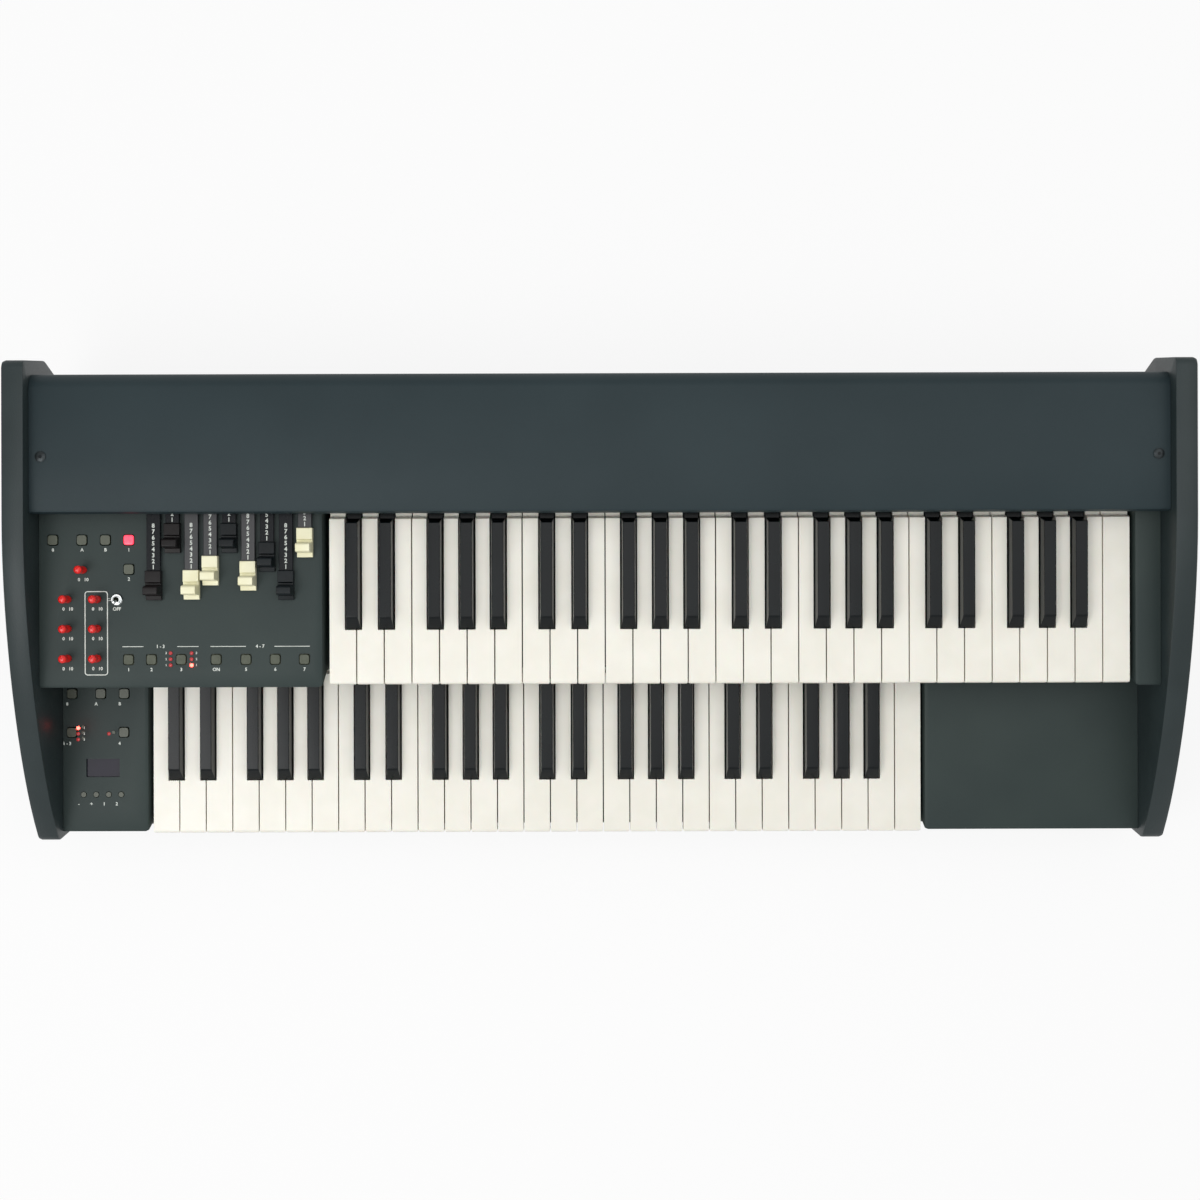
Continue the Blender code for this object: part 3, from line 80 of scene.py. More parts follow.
def grained(name, look):
    # One finish: two close shades in soft patches, a fine grain in the gloss and in the relief.
    material, tree = newMaterial(name)
    place = addNode(tree, "ShaderNodeTexCoord").outputs["Object"]
    patches = addNode(tree, "ShaderNodeTexNoise", {"Scale": 1 / look["patch"], "Detail": 2.0},
                      {"Vector": place})
    grain = addNode(tree, "ShaderNodeTexNoise", {"Scale": 1 / look["grain"], "Detail": 3.0},
                    {"Vector": place})
    shades = addNode(tree, "ShaderNodeValToRGB", None, {"Fac": patches.outputs["Fac"]})
    ramp = shades.color_ramp.elements
    ramp[0].position, ramp[1].position = 0.35, 0.65
    ramp[0].color, ramp[1].color = toLinear(look["dark"]), toLinear(look["light"])
    gloss = addNode(tree, "ShaderNodeMapRange", {"To Min": look["smooth"], "To Max": look["rough"]},
                    {"Value": grain.outputs["Fac"]})
    depth = look["grain"] * 0.3  # a grain is about a third as deep as it is wide
    relief = addNode(tree, "ShaderNodeBump", {"Strength": look["relief"], "Distance": depth},
                     {"Height": grain.outputs["Fac"]})
    links = {"Base Color": shades.outputs["Color"], "Roughness": gloss.outputs["Result"],
             "Normal": relief.outputs["Normal"]}
    if "other" in look:  # a second shade past a point on one axis, as where a cap rises from its board
        axis, level, code = look["other"]
        split = addNode(tree, "ShaderNodeSeparateXYZ", None, {"Vector": place})
        past = addNode(tree, "ShaderNodeMath", {"operation": "GREATER_THAN", 1: level},
                       {0: split.outputs[axis]})
        mixed = addNode(tree, "ShaderNodeMix", {"data_type": "RGBA"}, {"Factor": past.outputs[0]})
        mixed.inputs[7].default_value = toLinear(code)
        tree.links.new(shades.outputs["Color"], mixed.inputs[6])
        links["Base Color"] = mixed.outputs[2]
    finishMaterial(tree, look.get("shader", {}), links)
    return material


# lengths in metres: patch is the width of a soft patch, grain that of the fine grain
finishes = {
    # powder coat on steel, baked over a fine texture: even, with a soft wide highlight
    "powderCoatedSteel": {"dark": "2a3534", "light": "303b39", "patch": 0.09, "grain": 0.0009,
                          "smooth": 0.42, "rough": 0.6, "relief": 0.25,
                          "shader": {"Specular IOR Level": 0.25}},
    # the same coat on the lid, a little bluer
    "powderCoatedLid": {"dark": "1e2c30", "light": "233135", "patch": 0.12, "grain": 0.0009,
                        "smooth": 0.42, "rough": 0.6, "relief": 0.25,
                        "shader": {"Specular IOR Level": 0.25}},
    # sprayed lacquer over fibreboard, slightly pebbled
    "sprayedFibreboard": {"dark": "222c2d", "light": "283233", "patch": 0.05, "grain": 0.0012,
                          "smooth": 0.34, "rough": 0.52, "relief": 0.3,
                          "shader": {"Specular IOR Level": 0.3}},
    # moulded ABS, ivory white, wiped smooth by the tool
    "ivoryAbs": {"dark": "f3f0e4", "light": "f8f5ea", "patch": 0.03, "grain": 0.0006,
                 "smooth": 0.24, "rough": 0.34, "relief": 0.02,
                 "shader": {"Subsurface Weight": 0.06, "Subsurface Scale": 0.002, "IOR": 1.52}},
    # moulded ABS for the sharps, and for the drawbars in cream, black and brown
    "blackAbs": {"dark": "070c0e", "light": "0b1113", "patch": 0.03, "grain": 0.0008,
                 "smooth": 0.18, "rough": 0.26, "relief": 0.03,
                 "shader": {"Specular IOR Level": 0.17}},
    "creamAbs": {"dark": "f1edc6", "light": "f7f4d4", "patch": 0.02, "grain": 0.0006,
                 "smooth": 0.25, "rough": 0.38, "relief": 0.04, "shader": {"IOR": 1.52}},
    "darkAbs": {"dark": "0a1013", "light": "10171a", "patch": 0.02, "grain": 0.0006,
                "smooth": 0.22, "rough": 0.34, "relief": 0.06, "shader": {"Specular IOR Level": 0.16}},
    "brownAbs": {"dark": "110e0f", "light": "181414", "patch": 0.02, "grain": 0.0006,
                 "smooth": 0.22, "rough": 0.34, "relief": 0.06, "shader": {"Specular IOR Level": 0.16}},
    # turned acetal, signal red
    "redAcetal": {"dark": "dc1410", "light": "ea1c16", "patch": 0.01, "grain": 0.0007,
                  "smooth": 0.14, "rough": 0.24, "relief": 0.03,
                  "shader": {"Specular IOR Level": 0.4}},
    # silicone rubber, translucent olive over a dark switch
    "siliconeRubber": {"dark": "454a3c", "light": "4f5446", "patch": 0.004, "grain": 0.0005,
                       "smooth": 0.5, "rough": 0.7, "relief": 0.1},
    # zinc plated sheet, cold rolled
    "zincSheet": {"dark": "8f9294", "light": "a4a7a8", "patch": 0.02, "grain": 0.0015,
                  "smooth": 0.32, "rough": 0.5, "relief": 0.05, "shader": {"Metallic": 1.0}},
    # bright chromium on brass
    "chromePlate": {"dark": "b2b6b6", "light": "c2c5c5", "patch": 0.01, "grain": 0.001,
                    "smooth": 0.1, "rough": 0.18, "relief": 0.01, "shader": {"Metallic": 1.0}},
    # epoxy glass laminate, and the shade of the caps and sockets that are one piece with it
    "upperLaminate": {"dark": "1c4a34", "light": "23573e", "patch": 0.01, "grain": 0.0008,
                      "smooth": 0.35, "rough": 0.5, "relief": 0.1, "other": ("Z", 0.1475, "4a4f40")},
    "lowerLaminate": {"dark": "1c4a34", "light": "23573e", "patch": 0.01, "grain": 0.0008,
                      "smooth": 0.35, "rough": 0.5, "relief": 0.1, "other": ("Z", 0.0775, "474c3f")},
    "socketLaminate": {"dark": "1c4a34", "light": "23573e", "patch": 0.01, "grain": 0.0008,
                       "smooth": 0.35, "rough": 0.5, "relief": 0.1, "other": ("Y", 0.1872, "1b1c1e")},
    # glass over a dark screen
    "screenGlass": {"dark": "1c1b28", "light": "22202e", "patch": 0.02, "grain": 0.001,
                    "smooth": 0.08, "rough": 0.14, "relief": 0.0,
                    "shader": {"Specular IOR Level": 0.1}},
    # moulded rubber, dusty black
    "footRubber": {"dark": "17181a", "light": "1f2022", "patch": 0.01, "grain": 0.0008,
                   "smooth": 0.7, "rough": 0.9, "relief": 0.2},
    # screen printing ink, off white
    "printingInk": {"dark": "d3d9d2", "light": "e2e7e0", "patch": 0.01, "grain": 0.0006,
                    "smooth": 0.5, "rough": 0.6, "relief": 0.02},
    # blackened steel screws
    "blackedSteel": {"dark": "1d2224", "light": "262c2e", "patch": 0.003, "grain": 0.0006,
                     "smooth": 0.25, "rough": 0.4, "relief": 0.1, "shader": {"Metallic": 0.6}},
    # red diffused epoxy: lamps that are off, given a faint painted glow, lamps that are lit, and the lit
    # button cap
    "offLensPaintedGlow": {"dark": "9c2a2c", "light": "a83234", "patch": 0.002, "grain": 0.0005,
                 "smooth": 0.15, "rough": 0.25, "relief": 0.0,
                 "shader": {"Emission Color": toLinear("c02024"), "Emission Strength": 0.25}},
    "litLens": {"dark": "ff5a55", "light": "ff7068", "patch": 0.002, "grain": 0.0005,
                "smooth": 0.2, "rough": 0.3, "relief": 0.0,
                "shader": {"Emission Color": toLinear("ff3a30"), "Emission Strength": 14.0}},
    "litCap": {"dark": "f04050", "light": "f65a68", "patch": 0.002, "grain": 0.0005,
               "smooth": 0.3, "rough": 0.4, "relief": 0.0,
               "shader": {"Emission Color": toLinear("ff3850"), "Emission Strength": 1.6}},
}
materials = {name: grained(name, look) for name, look in finishes.items()}

slotFinish = {
    "cheek": "sprayedFibreboard", "panel": "powderCoatedSteel", "natural": "ivoryAbs",
    "sharp": "blackAbs", "steel": "zincSheet", "knob": "redAcetal", "chrome": "chromePlate",
    "cream": "creamAbs", "black": "darkAbs", "brown": "brownAbs", "button": "siliconeRubber",
    "display": "screenGlass", "foot": "footRubber",
}
nodeFinish = {
    "top_lid": "powderCoatedLid", "upper_control_board": "upperLaminate",
    "lower_control_board": "lowerLaminate", "main_board": "socketLaminate",
    "upper_keybed": "powderCoatedSteel", "lower_keybed": "powderCoatedSteel",
}
edgeSoftness = {  # how round the mould leaves each edge, in metres
    "natural": 0.0005, "sharp": 0.0007, "cream": 0.0004, "black": 0.0004, "brown": 0.0004,
    "button": 0.0004, "knob": 0.0002, "foot": 0.0005,
}


drawbar = {"count": 9, "knobLength": 25 * mm, "firstMark": 2.9 * mm, "step": 5 * mm,
           "digitSize": 5.0 * mm, "stemTop": 5.5 * mm, "stemColour": "070b11", "colourGap": 0.05 * mm}
smoothing = {"weld": 0.002 * mm, "flatAngle": 0.5, "softAngle": 28, "facetAngle": 32,
             "segments": 2, "flatWeight": 80}


def stemmed(name, slotName):
    # a drawbar's own finish, with the dark strip that its knob rides on
    look = dict(finishes[slotFinish[slotName]])
    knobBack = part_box(name)[0].y + drawbar["knobLength"] + drawbar["colourGap"]
    look["other"] = ("Y", knobBack, drawbar["stemColour"])
    return grained(name + "Abs", look)


def dressNode(name, node, slotName):
    # moulded pieces get soft edges, folded and cut ones crisp facets
    if name.startswith("drawbar_") and name != "drawbar_housing":
        material = stemmed(name, slotName)
    else:
        material = materials[nodeFinish.get(name) or slotFinish[slotName]]
    node.data.materials.clear()
    node.data.materials.append(material)
    weld = node.modifiers.new("weld", "WELD")
    weld.merge_threshold = smoothing["weld"]
    if slotName in edgeSoftness:
        flat = node.modifiers.new("flatten", "DECIMATE")
        flat.decimate_type = "DISSOLVE"
        flat.angle_limit = math.radians(smoothing["flatAngle"])
        soft = node.modifiers.new("soften", "BEVEL")
        soft.width = edgeSoftness[slotName]
        soft.segments = smoothing["segments"]
        soft.limit_method = "ANGLE"
        soft.angle_limit = math.radians(smoothing["softAngle"])
        node.modifiers.new("flat faces stay flat", "WEIGHTED_NORMAL").weight = smoothing["flatWeight"]
    node.data.polygons.foreach_set("use_smooth", [True] * len(node.data.polygons))
    if slotName not in edgeSoftness:
        facets = node.modifiers.new("facets", "EDGE_SPLIT")
        facets.split_angle = math.radians(smoothing["facetAngle"])
        facets.use_edge_sharp = False


for entry in frame["record"]["subparts"]:
    dressNode(entry["node"], frame["nodes"][entry["node"]], entry["material_slot"])
print("nodes dressed")


def pieceFrom(name, bm, finish, body="case", smooth=False):
    mesh = bpy.data.meshes.new(name)
    bm.normal_update()
    bm.to_mesh(mesh)
    bm.free()
    piece = bpy.data.objects.new(name, mesh)
    bpy.context.scene.collection.objects.link(piece)
    mesh.materials.append(materials[finish])
    if smooth:
        mesh.shade_smooth()
        mesh.set_sharp_from_angle(angle=math.radians(40))
    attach(piece, body)
    return piece


def topOf(node):
    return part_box(node)[1].z


ink = {"bold": 0.028, "thickness": 0.06 * mm, "lift": 0.01 * mm, "word": 3.9 * mm, "small": 2.7 * mm,
       "rule": 0.55 * mm, "frameRule": 0.8 * mm, "frameRadius": 2.6 * mm, "cornerSteps": 6}


def stamp(bm, text, place, size):
    # printed text, as a thin mesh just over the surface
    curve = bpy.data.curves.new("lettering", "FONT")
    curve.body = text
    curve.size = size
    curve.align_x = "CENTER"
    curve.align_y = "CENTER"
    curve.extrude = ink["thickness"] / 2
    curve.offset = size * ink["bold"]
    curve.resolution_u = 2
    guide = bpy.data.objects.new("lettering", curve)
    bpy.context.scene.collection.objects.link(guide)
    graph = bpy.context.evaluated_depsgraph_get()
    mesh = bpy.data.meshes.new_from_object(guide.evaluated_get(graph))
    mesh.transform(Matrix.Translation(Vector(place) + up * (ink["lift"] + ink["thickness"] / 2)))
    bm.from_mesh(mesh)
    bpy.data.meshes.remove(mesh)
    bpy.data.objects.remove(guide)


def strip(bm, low, high, z):
    # a printed bar between two corners
    made = bmesh.ops.create_cube(bm, size=1)["verts"]
    size = Vector((high[0] - low[0], high[1] - low[1], ink["thickness"]))
    middle = Vector(((low[0] + high[0]) / 2, (low[1] + high[1]) / 2,
                     z + ink["lift"] + ink["thickness"] / 2))
    bmesh.ops.scale(bm, vec=size, verts=made)
    bmesh.ops.translate(bm, vec=middle, verts=made)


def roundedFrame(bm, low, high, radius, width, z):
    # a printed rectangle with round corners, drawn as one closed band
    corners = [((high[0] - radius, high[1] - radius), 0), ((low[0] + radius, high[1] - radius), 90),
               ((low[0] + radius, low[1] + radius), 180), ((high[0] - radius, low[1] + radius), 270)]
    rings = {"outer": [], "inner": []}
    for centre, start in corners:
        for step in range(ink["cornerSteps"] + 1):
            angle = math.radians(start + 90 / ink["cornerSteps"] * step)
            for ring, reach in (("outer", radius), ("inner", radius - width)):
                rings[ring].append((centre[0] + reach * math.cos(angle),
                                    centre[1] + reach * math.sin(angle)))
    levels = [z + ink["lift"], z + ink["lift"] + ink["thickness"]]
    verts = {(ring, k): [bm.verts.new((x, y, level)) for x, y in points]
             for ring, points in rings.items() for k, level in enumerate(levels)}
    count = len(rings["outer"])
    for i in range(count):
        j = (i + 1) % count
        for a, b in ((("outer", 1), ("inner", 1)), (("inner", 1), ("inner", 0)),
                     (("inner", 0), ("outer", 0)), (("outer", 0), ("outer", 1))):
            bm.faces.new((verts[a][i], verts[a][j], verts[b][j], verts[b][i]))


upperTop = topOf("upper_panel")
lowerTop = topOf("lower_panel")
upperMarks = {  # plain numbers and signs: (x, y) in millimetres
    "buttons": {"8": (-463.9, 45.4), "A": (-439.2, 45.4), "B": (-419.3, 45.4), "1": (-399.5, 45.4),
                "2": (-399.5, 20.6), "OFF": (-409.8, -4.8)},
    "row": {"1": -399.9, "2": -380.5, "3": -355.3, "ON": -325.6, "5": -300.3, "6": -275.5,
            "7": -250.8},
    "rowDrop": -56.3,
    "dials": [(-438.3, 20.2), (-451.5, -4.7), (-426.4, -4.7), (-451.5, -29.9), (-426.4, -29.9),
              (-451.5, -55.4), (-426.4, -55.4)],
    "lamps": {"3": -42.3, "2": -47.4, "1": -52.5},
    "lampColumns": (-368.1, -342.4),
    "rules": [(-405.2, -387.3), (-358.6, -340.6), (-330.5, -300.5), (-276.2, -246.2)],
    "ruleHeight": -36.7,
    "headings": {"1 - 3": -372.9, "4 - 7": -288.4},
    "frame": ((-437.2, -61.0), (-417.4, 10.5)),
    "link": ((-417.4, 2.3), (-414.6, 4.3)),
}
lowerMarks = {
    "buttons": {"8": (-467.5, -88.2), "A": (-442.1, -88.2), "B": (-421.4, -88.2), "1 - 3": (-467.7, -122.9),
                "4": (-421.7, -122.9), "-": (-457.5, -175.9), "+": (-446.4, -175.9),
                "1": (-435.3, -175.9), "2": (-424.3, -175.9)},
    "lamps": {"1": (-452.6, -109.2), "2": (-452.6, -114.3), "3": (-452.6, -119.4)},
}


def printPanels():
    bm = bmesh.new()
    word, small = ink["word"], ink["small"]
    for text, (x, y) in upperMarks["buttons"].items():
        stamp(bm, text, (x * mm, y * mm, upperTop), word)
    for text, x in upperMarks["row"].items():
        stamp(bm, text, (x * mm, upperMarks["rowDrop"] * mm, upperTop), word)
    for x, y in upperMarks["dials"]:
        stamp(bm, "0   10", (x * mm, y * mm, upperTop), word)
    for text, y in upperMarks["lamps"].items():
        for x in upperMarks["lampColumns"]:
            stamp(bm, text, (x * mm, y * mm, upperTop), small)
    for text, x in upperMarks["headings"].items():
        stamp(bm, text, (x * mm, upperMarks["ruleHeight"] * mm, upperTop), word)
    half = ink["rule"] / 2
    height = upperMarks["ruleHeight"] * mm
    for start, end in upperMarks["rules"]:
        strip(bm, (start * mm, height - half), (end * mm, height + half), upperTop)
    low, high = [[v * mm for v in corner] for corner in upperMarks["frame"]]
    roundedFrame(bm, low, high, ink["frameRadius"], ink["frameRule"], upperTop)
    low, high = [[v * mm for v in corner] for corner in upperMarks["link"]]
    strip(bm, low, (high[0], low[1] + half), upperTop)
    strip(bm, (low[0], high[1] - half), high, upperTop)
    pieceFrom("upperPrinting", bm, "printingInk")

    bm = bmesh.new()
    for text, (x, y) in lowerMarks["buttons"].items():
        stamp(bm, text, (x * mm, y * mm, lowerTop), word)
    for text, (x, y) in lowerMarks["lamps"].items():
        stamp(bm, text, (x * mm, y * mm, lowerTop), small)
    pieceFrom("lowerPrinting", bm, "printingInk")


printPanels()


def numberStems():
    # each stem shows how far it is pulled: 1 nearest the knob, 8 farthest
    for index in range(drawbar["count"]):
        name = f"drawbar_{index + 1}"
        low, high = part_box(name)
        middle = (low.x + high.x) / 2
        bm = bmesh.new()
        for digit in range(1, 9):
            y = low.y + drawbar["knobLength"] + drawbar["firstMark"] + (digit - 1) * drawbar["step"]
            stamp(bm, str(digit), (middle, y, upperTop + drawbar["stemTop"]), drawbar["digitSize"])
        pieceFrom(f"drawbarNumbers{index + 1}", bm, "printingInk", f"{name}_body")


numberStems()
print("printing done")


rimShare = 0.6  # the part of a turned head's height that is an upright rim, under its dome


def scatterTree(name):
    # stands one small turned head on every point: a disc with a domed top
    tree = bpy.data.node_groups.new(name, "GeometryNodeTree")
    face = tree.interface
    face.new_socket("Geometry", in_out="INPUT", socket_type="NodeSocketGeometry")
    for socket, kind in (("Radius", "Float"), ("Height", "Float"), ("Dome", "Float"), ("Sides", "Int"),
                         ("Tilt", "Vector"), ("Finish", "Material")):
        face.new_socket(socket, in_out="INPUT", socket_type="NodeSocket" + kind)
    face.new_socket("Geometry", in_out="OUTPUT", socket_type="NodeSocketGeometry")
    given = addNode(tree, "NodeGroupInput").outputs
    shoulder = addNode(tree, "ShaderNodeMath", {"operation": "MULTIPLY"},
                       {0: given["Radius"], 1: given["Dome"]})
    rimHeight = addNode(tree, "ShaderNodeMath", {"operation": "MULTIPLY", 1: rimShare},
                        {0: given["Height"]})
    domeHeight = addNode(tree, "ShaderNodeMath", {"operation": "MULTIPLY", 1: 1 - rimShare},
                         {0: given["Height"]})
    rim = addNode(tree, "GeometryNodeMeshCone", None,
                  {"Vertices": given["Sides"], "Radius Top": given["Radius"],
                   "Radius Bottom": given["Radius"], "Depth": rimHeight.outputs[0]})
    dome = addNode(tree, "GeometryNodeMeshCone", None,
                   {"Vertices": given["Sides"], "Radius Top": shoulder.outputs[0],
                    "Radius Bottom": given["Radius"], "Depth": domeHeight.outputs[0]})
    lift = addNode(tree, "ShaderNodeCombineXYZ", None, {"Z": rimHeight.outputs[0]})
    raised = addNode(tree, "GeometryNodeTransform", None,
                     {"Geometry": dome.outputs["Mesh"], "Translation": lift.outputs[0]})
    head = addNode(tree, "GeometryNodeJoinGeometry")
    tree.links.new(rim.outputs["Mesh"], head.inputs[0])
    tree.links.new(raised.outputs[0], head.inputs[0])
    merged = addNode(tree, "GeometryNodeMergeByDistance", {"Distance": 0.02 * mm},
                     {"Geometry": head.outputs[0]})
    copies = addNode(tree, "GeometryNodeInstanceOnPoints", None,
                     {"Points": given["Geometry"], "Instance": merged.outputs[0],
                      "Rotation": given["Tilt"]})
    real = addNode(tree, "GeometryNodeRealizeInstances", None, {"Geometry": copies.outputs[0]})
    coated = addNode(tree, "GeometryNodeSetMaterial", None,
                     {"Geometry": real.outputs[0], "Material": given["Finish"]})
    addNode(tree, "NodeGroupOutput", None, {0: coated.outputs[0]})
    return tree


headTree = scatterTree("turnedHeads")


def scatter(name, points, settings, finish, tilt=(0, 0, 0)):
    mesh = bpy.data.meshes.new(name + "Points")
    mesh.from_pydata([tuple(p) for p in points], [], [])
    carrier = bpy.data.objects.new(name + "Points", mesh)
    bpy.context.scene.collection.objects.link(carrier)
    modifier = carrier.modifiers.new("heads", "NODES")
    modifier.node_group = headTree
    sockets = {item.name: item.identifier for item in headTree.interface.items_tree
               if item.item_type == "SOCKET" and item.in_out == "INPUT"}
    for key, value in settings.items():
        modifier[sockets[key]] = value
    modifier[sockets["Tilt"]] = tilt
    modifier[sockets["Finish"]] = materials[finish]
    graph = bpy.context.evaluated_depsgraph_get()
    made = bpy.data.meshes.new_from_object(carrier.evaluated_get(graph))
    bpy.data.objects.remove(carrier)
    bm = bmesh.new()
    bm.from_mesh(made)
    bpy.data.meshes.remove(made)
    return pieceFrom(name, bm, finish, smooth=True)


lidTop = topOf("top_lid")
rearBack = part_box("rear_panel")[1].y
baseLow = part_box("base_pan")[0].z
heads = {
    "lid": {"Radius": 4.4 * mm, "Height": 1.2 * mm, "Dome": 0.72, "Sides": 32},
    "panel": {"Radius": 3.2 * mm, "Height": 1.6 * mm, "Dome": 0.55, "Sides": 24},
    "lamp": {"Radius": 1.55 * mm, "Height": 1.3 * mm, "Dome": 0.45, "Sides": 16},
    # recess: a flat dark hexagon over each lid screw head, painted shade standing in for its hollow hex
    # socket
    "recessShade": {"Radius": 1.7 * mm, "Height": 0.35 * mm, "Dome": 0.9, "Sides": 6},
}
screws = {  # places in millimetres; standOff is how far a head's middle is from its surface
    "lid": {"x": (-465.7, 465.7), "y": 122.5, "standOff": 0.5 * rimShare * heads["lid"]["Height"]},
    "rear": {"x": (-460, -300, -160, 160, 300, 460), "z": (30, 150), "standOff": 0.5 * mm},
    "base": {"x": (-455, -230, 0, 230, 455), "y": (-185, 175), "standOff": 0.4 * mm},
}
facing = {"back": (-math.pi / 2, 0, 0), "down": (math.pi, 0, 0)}


def addScrews():
    lid, rear, base = screws["lid"], screws["rear"], screws["base"]
    lidPlaces = [(x * mm, lid["y"] * mm) for x in lid["x"]]
    scatter("lidScrews", [(x, y, lidTop + lid["standOff"]) for x, y in lidPlaces], heads["lid"],
            "blackedSteel")
    # the dark hexagons over the lid screws are painted shade where the sockets are hollow
    recessShadeHeight = lidTop + heads["lid"]["Height"] + 0.05 * mm  # just proud of the head
    scatter("lidScrewRecessShade", [(x, y, recessShadeHeight) for x, y in lidPlaces], heads["recessShade"], "darkAbs")
    rearPlaces = [(x * mm, rearBack + rear["standOff"], z * mm) for x in rear["x"] for z in rear["z"]]
    scatter("rearScrews", rearPlaces, heads["panel"], "blackedSteel", facing["back"])
    basePlaces = [(x * mm, y * mm, baseLow - base["standOff"]) for x in base["x"] for y in base["y"]]
    scatter("baseScrews", basePlaces, heads["panel"], "blackedSteel", facing["down"])


lamps = {  # places in millimetres, the lit one by its own name
    "foot": 0.15 * mm,
    "upper": [(x, y) for x in (-364.2, -346.4) for y in (-42.3, -47.4, -52.5)],
    "lower": [(-457.8, -109.2), (-457.8, -114.2), (-457.8, -119.2), (-430.8, -114.2)],
    "litUpper": (-346.4, -52.5), "litLower": (-457.8, -109.2),
}


def addLamps():
    decks = (("upper", "litUpper", upperTop), ("lower", "litLower", lowerTop))
    off = [(x * mm, y * mm, top + lamps["foot"])
           for row, lit, top in decks for x, y in lamps[row] if (x, y) != lamps[lit]]
    on = [(lamps[lit][0] * mm, lamps[lit][1] * mm, top + lamps["foot"]) for row, lit, top in decks]
    # the lamps that are off carry a faint painted glow in their lens
    scatter("offLampsPaintedGlow", off, heads["lamp"], "offLensPaintedGlow")
    scatter("litLamps", on, heads["lamp"], "litLens")


addScrews()
addLamps()
print("repeats done")


litButton = {"place": (-399.5 * mm, 53.8 * mm), "half": 4.15 * mm, "corner": 1.9 * mm,
             "soften": 0.7 * mm, "sunk": 0.5 * mm, "rise": 1.7 * mm}


def addLitButton():
    # the one lit cap, a rounded square with soft edges over the dark cap below it
    low, high = upperTop - litButton["sunk"], upperTop + litButton["rise"]
    bm = bmesh.new()
    bmesh.ops.create_cube(bm, size=1)
    bmesh.ops.scale(bm, vec=(2 * litButton["half"], 2 * litButton["half"], high - low), verts=bm.verts)
    bmesh.ops.translate(bm, vec=(*litButton["place"], (low + high) / 2), verts=bm.verts)
    upright = [e for e in bm.edges if abs(e.verts[0].co.z - e.verts[1].co.z) > (high - low) / 2]
    bmesh.ops.bevel(bm, geom=upright, offset=litButton["corner"], segments=5, profile=0.5,
                    affect="EDGES")
    rim = [e for e in bm.edges if min(v.co.z for v in e.verts) > high - 0.001 * mm]
    bmesh.ops.bevel(bm, geom=rim, offset=litButton["soften"], segments=3, profile=0.5, affect="EDGES")
    pieceFrom("litButtonCap", bm, "litCap", smooth=True)


toggleCollar = {  # the nut and ring round the toggle: (radius, height) in millimetres, closed on itself
    "place": (-409.7 * mm, 3.2 * mm), "steps": 32,
    "profile": [(2.5, 0.05), (5.0, 0.05), (5.0, 1.1), (4.7, 1.4), (4.4, 2.0), (3.3, 2.0), (3.2, 2.7),
                (3.2, 3.6), (2.9, 3.7), (2.5, 3.7)],
}


def addToggleCollar():
    x, y = toggleCollar["place"]
    steps = toggleCollar["steps"]
    bm = bmesh.new()
    rings = []
    for step in range(steps):
        angle = 2 * math.pi * step / steps
        rings.append([bm.verts.new((x + r * mm * math.cos(angle), y + r * mm * math.sin(angle),
                                    upperTop + z * mm)) for r, z in toggleCollar["profile"]])
    count = len(toggleCollar["profile"])
    for i in range(steps):
        near, far = rings[i], rings[(i + 1) % steps]
        for j in range(count):
            k = (j + 1) % count
            bm.faces.new((near[j], far[j], far[k], near[k]))
    bmesh.ops.recalc_face_normals(bm, faces=bm.faces)
    pieceFrom("toggleCollar", bm, "chromePlate", smooth=True)


addLitButton()
addToggleCollar()
print("single pieces done")


# the camera looks straight down; north is how far it stands towards the back, roll is in degrees
camera = {"height": 1745 * mm, "north": 1.8 * mm, "lens": 56.45, "sensor": 36, "clip": 10 * mm,
          "roll": -0.16}
lightRig = {
    "key": {"place": (-0.9, -0.55, 1.9), "size": 0.9, "power": 12.5},
    "fill": {"place": (1.1, 0.5, 2.1), "size": 1.4, "power": 6.5},
    "top": {"place": (0.0, 0.1, 2.4), "size": 1.2, "power": 6.5},
}
aimPoint = Vector((0, 0, 0.1))
world = {"fill": "ffffff", "strength": 0.5}
ground = {"paper": "f4f4f4", "glow": "ffffff", "glowShare": 0.86, "half": 6.0}


def setCamera():
    data = bpy.data.cameras.new("camera")
    data.lens = camera["lens"]
    data.sensor_width = camera["sensor"]
    data.clip_start = camera["clip"]
    obj = bpy.data.objects.new("camera", data)
    obj.location = (0, camera["north"], camera["height"])
    obj.rotation_euler = (0, 0, math.radians(camera["roll"]))
    bpy.context.scene.collection.objects.link(obj)
    bpy.context.scene.camera = obj


def setLights():
    for name, rig in lightRig.items():
        data = bpy.data.lights.new(name, "AREA")
        data.size = rig["size"]
        data.energy = rig["power"]
        obj = bpy.data.objects.new(name, data)
        obj.location = rig["place"]
        aim = aimPoint - obj.location
        obj.rotation_euler = aim.to_track_quat("-Z", "Y").to_euler()
        bpy.context.scene.collection.objects.link(obj)


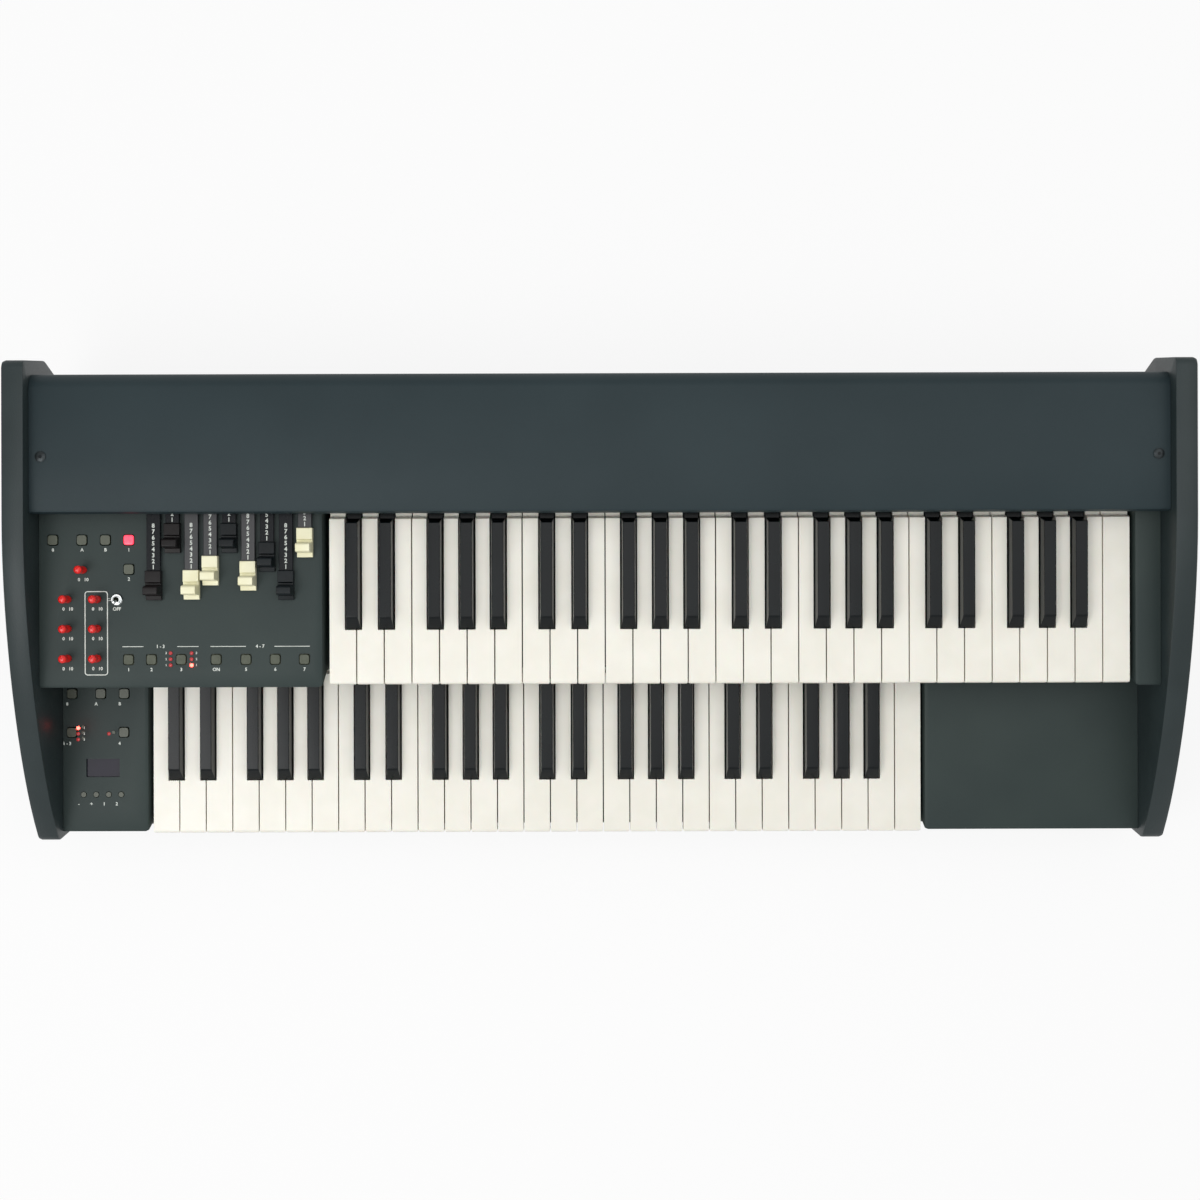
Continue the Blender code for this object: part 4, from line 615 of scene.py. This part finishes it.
def whiteForCamera(tree):
    # 1 for rays that show the background, straight or in glass and gloss, and 0 for those that light
    path = addNode(tree, "ShaderNodeLightPath").outputs
    either = addNode(tree, "ShaderNodeMath", {"operation": "MAXIMUM"},
                     {0: path["Is Camera Ray"], 1: path["Is Glossy Ray"]})
    return addNode(tree, "ShaderNodeMath", {"operation": "MAXIMUM"},
                   {0: either.outputs[0], 1: path["Is Transmission Ray"]}).outputs[0]


def setWorld():
    sky = bpy.data.worlds.new("studio")
    sky.use_nodes = True
    tree = sky.node_tree
    tree.nodes.clear()
    plain = addNode(tree, "ShaderNodeBackground",
                    {"Color": toLinear(world["fill"]), "Strength": world["strength"]})
    white = addNode(tree, "ShaderNodeBackground", {"Color": toLinear(world["fill"]), "Strength": 1.0})
    both = addNode(tree, "ShaderNodeMixShader", None,
                   {0: whiteForCamera(tree), 1: plain.outputs[0], 2: white.outputs[0]})
    addNode(tree, "ShaderNodeOutputWorld", None, {"Surface": both.outputs[0]})
    bpy.context.scene.world = sky


def setFloor():
    material, tree = newMaterial("paleFloor")
    paper = addNode(tree, "ShaderNodeBsdfDiffuse", {"Color": toLinear(ground["paper"])})
    glow = addNode(tree, "ShaderNodeEmission", {"Color": toLinear(ground["glow"]), "Strength": 1.0})
    share = addNode(tree, "ShaderNodeMath", {"operation": "MULTIPLY", 1: ground["glowShare"]},
                    {0: whiteForCamera(tree)})
    mixed = addNode(tree, "ShaderNodeMixShader", None,
                    {0: share.outputs[0], 1: paper.outputs[0], 2: glow.outputs[0]})
    addNode(tree, "ShaderNodeOutputMaterial", None, {"Surface": mixed.outputs[0]})
    bm = bmesh.new()
    bmesh.ops.create_grid(bm, x_segments=1, y_segments=1, size=ground["half"])
    mesh = bpy.data.meshes.new("floor")
    bm.to_mesh(mesh)
    bm.free()
    mesh.materials.append(material)
    floor = bpy.data.objects.new("floor", mesh)
    bpy.context.scene.collection.objects.link(floor)


setCamera()
setLights()
setWorld()
setFloor()
bpy.context.scene.view_settings.view_transform = "Standard"
print("stage set")
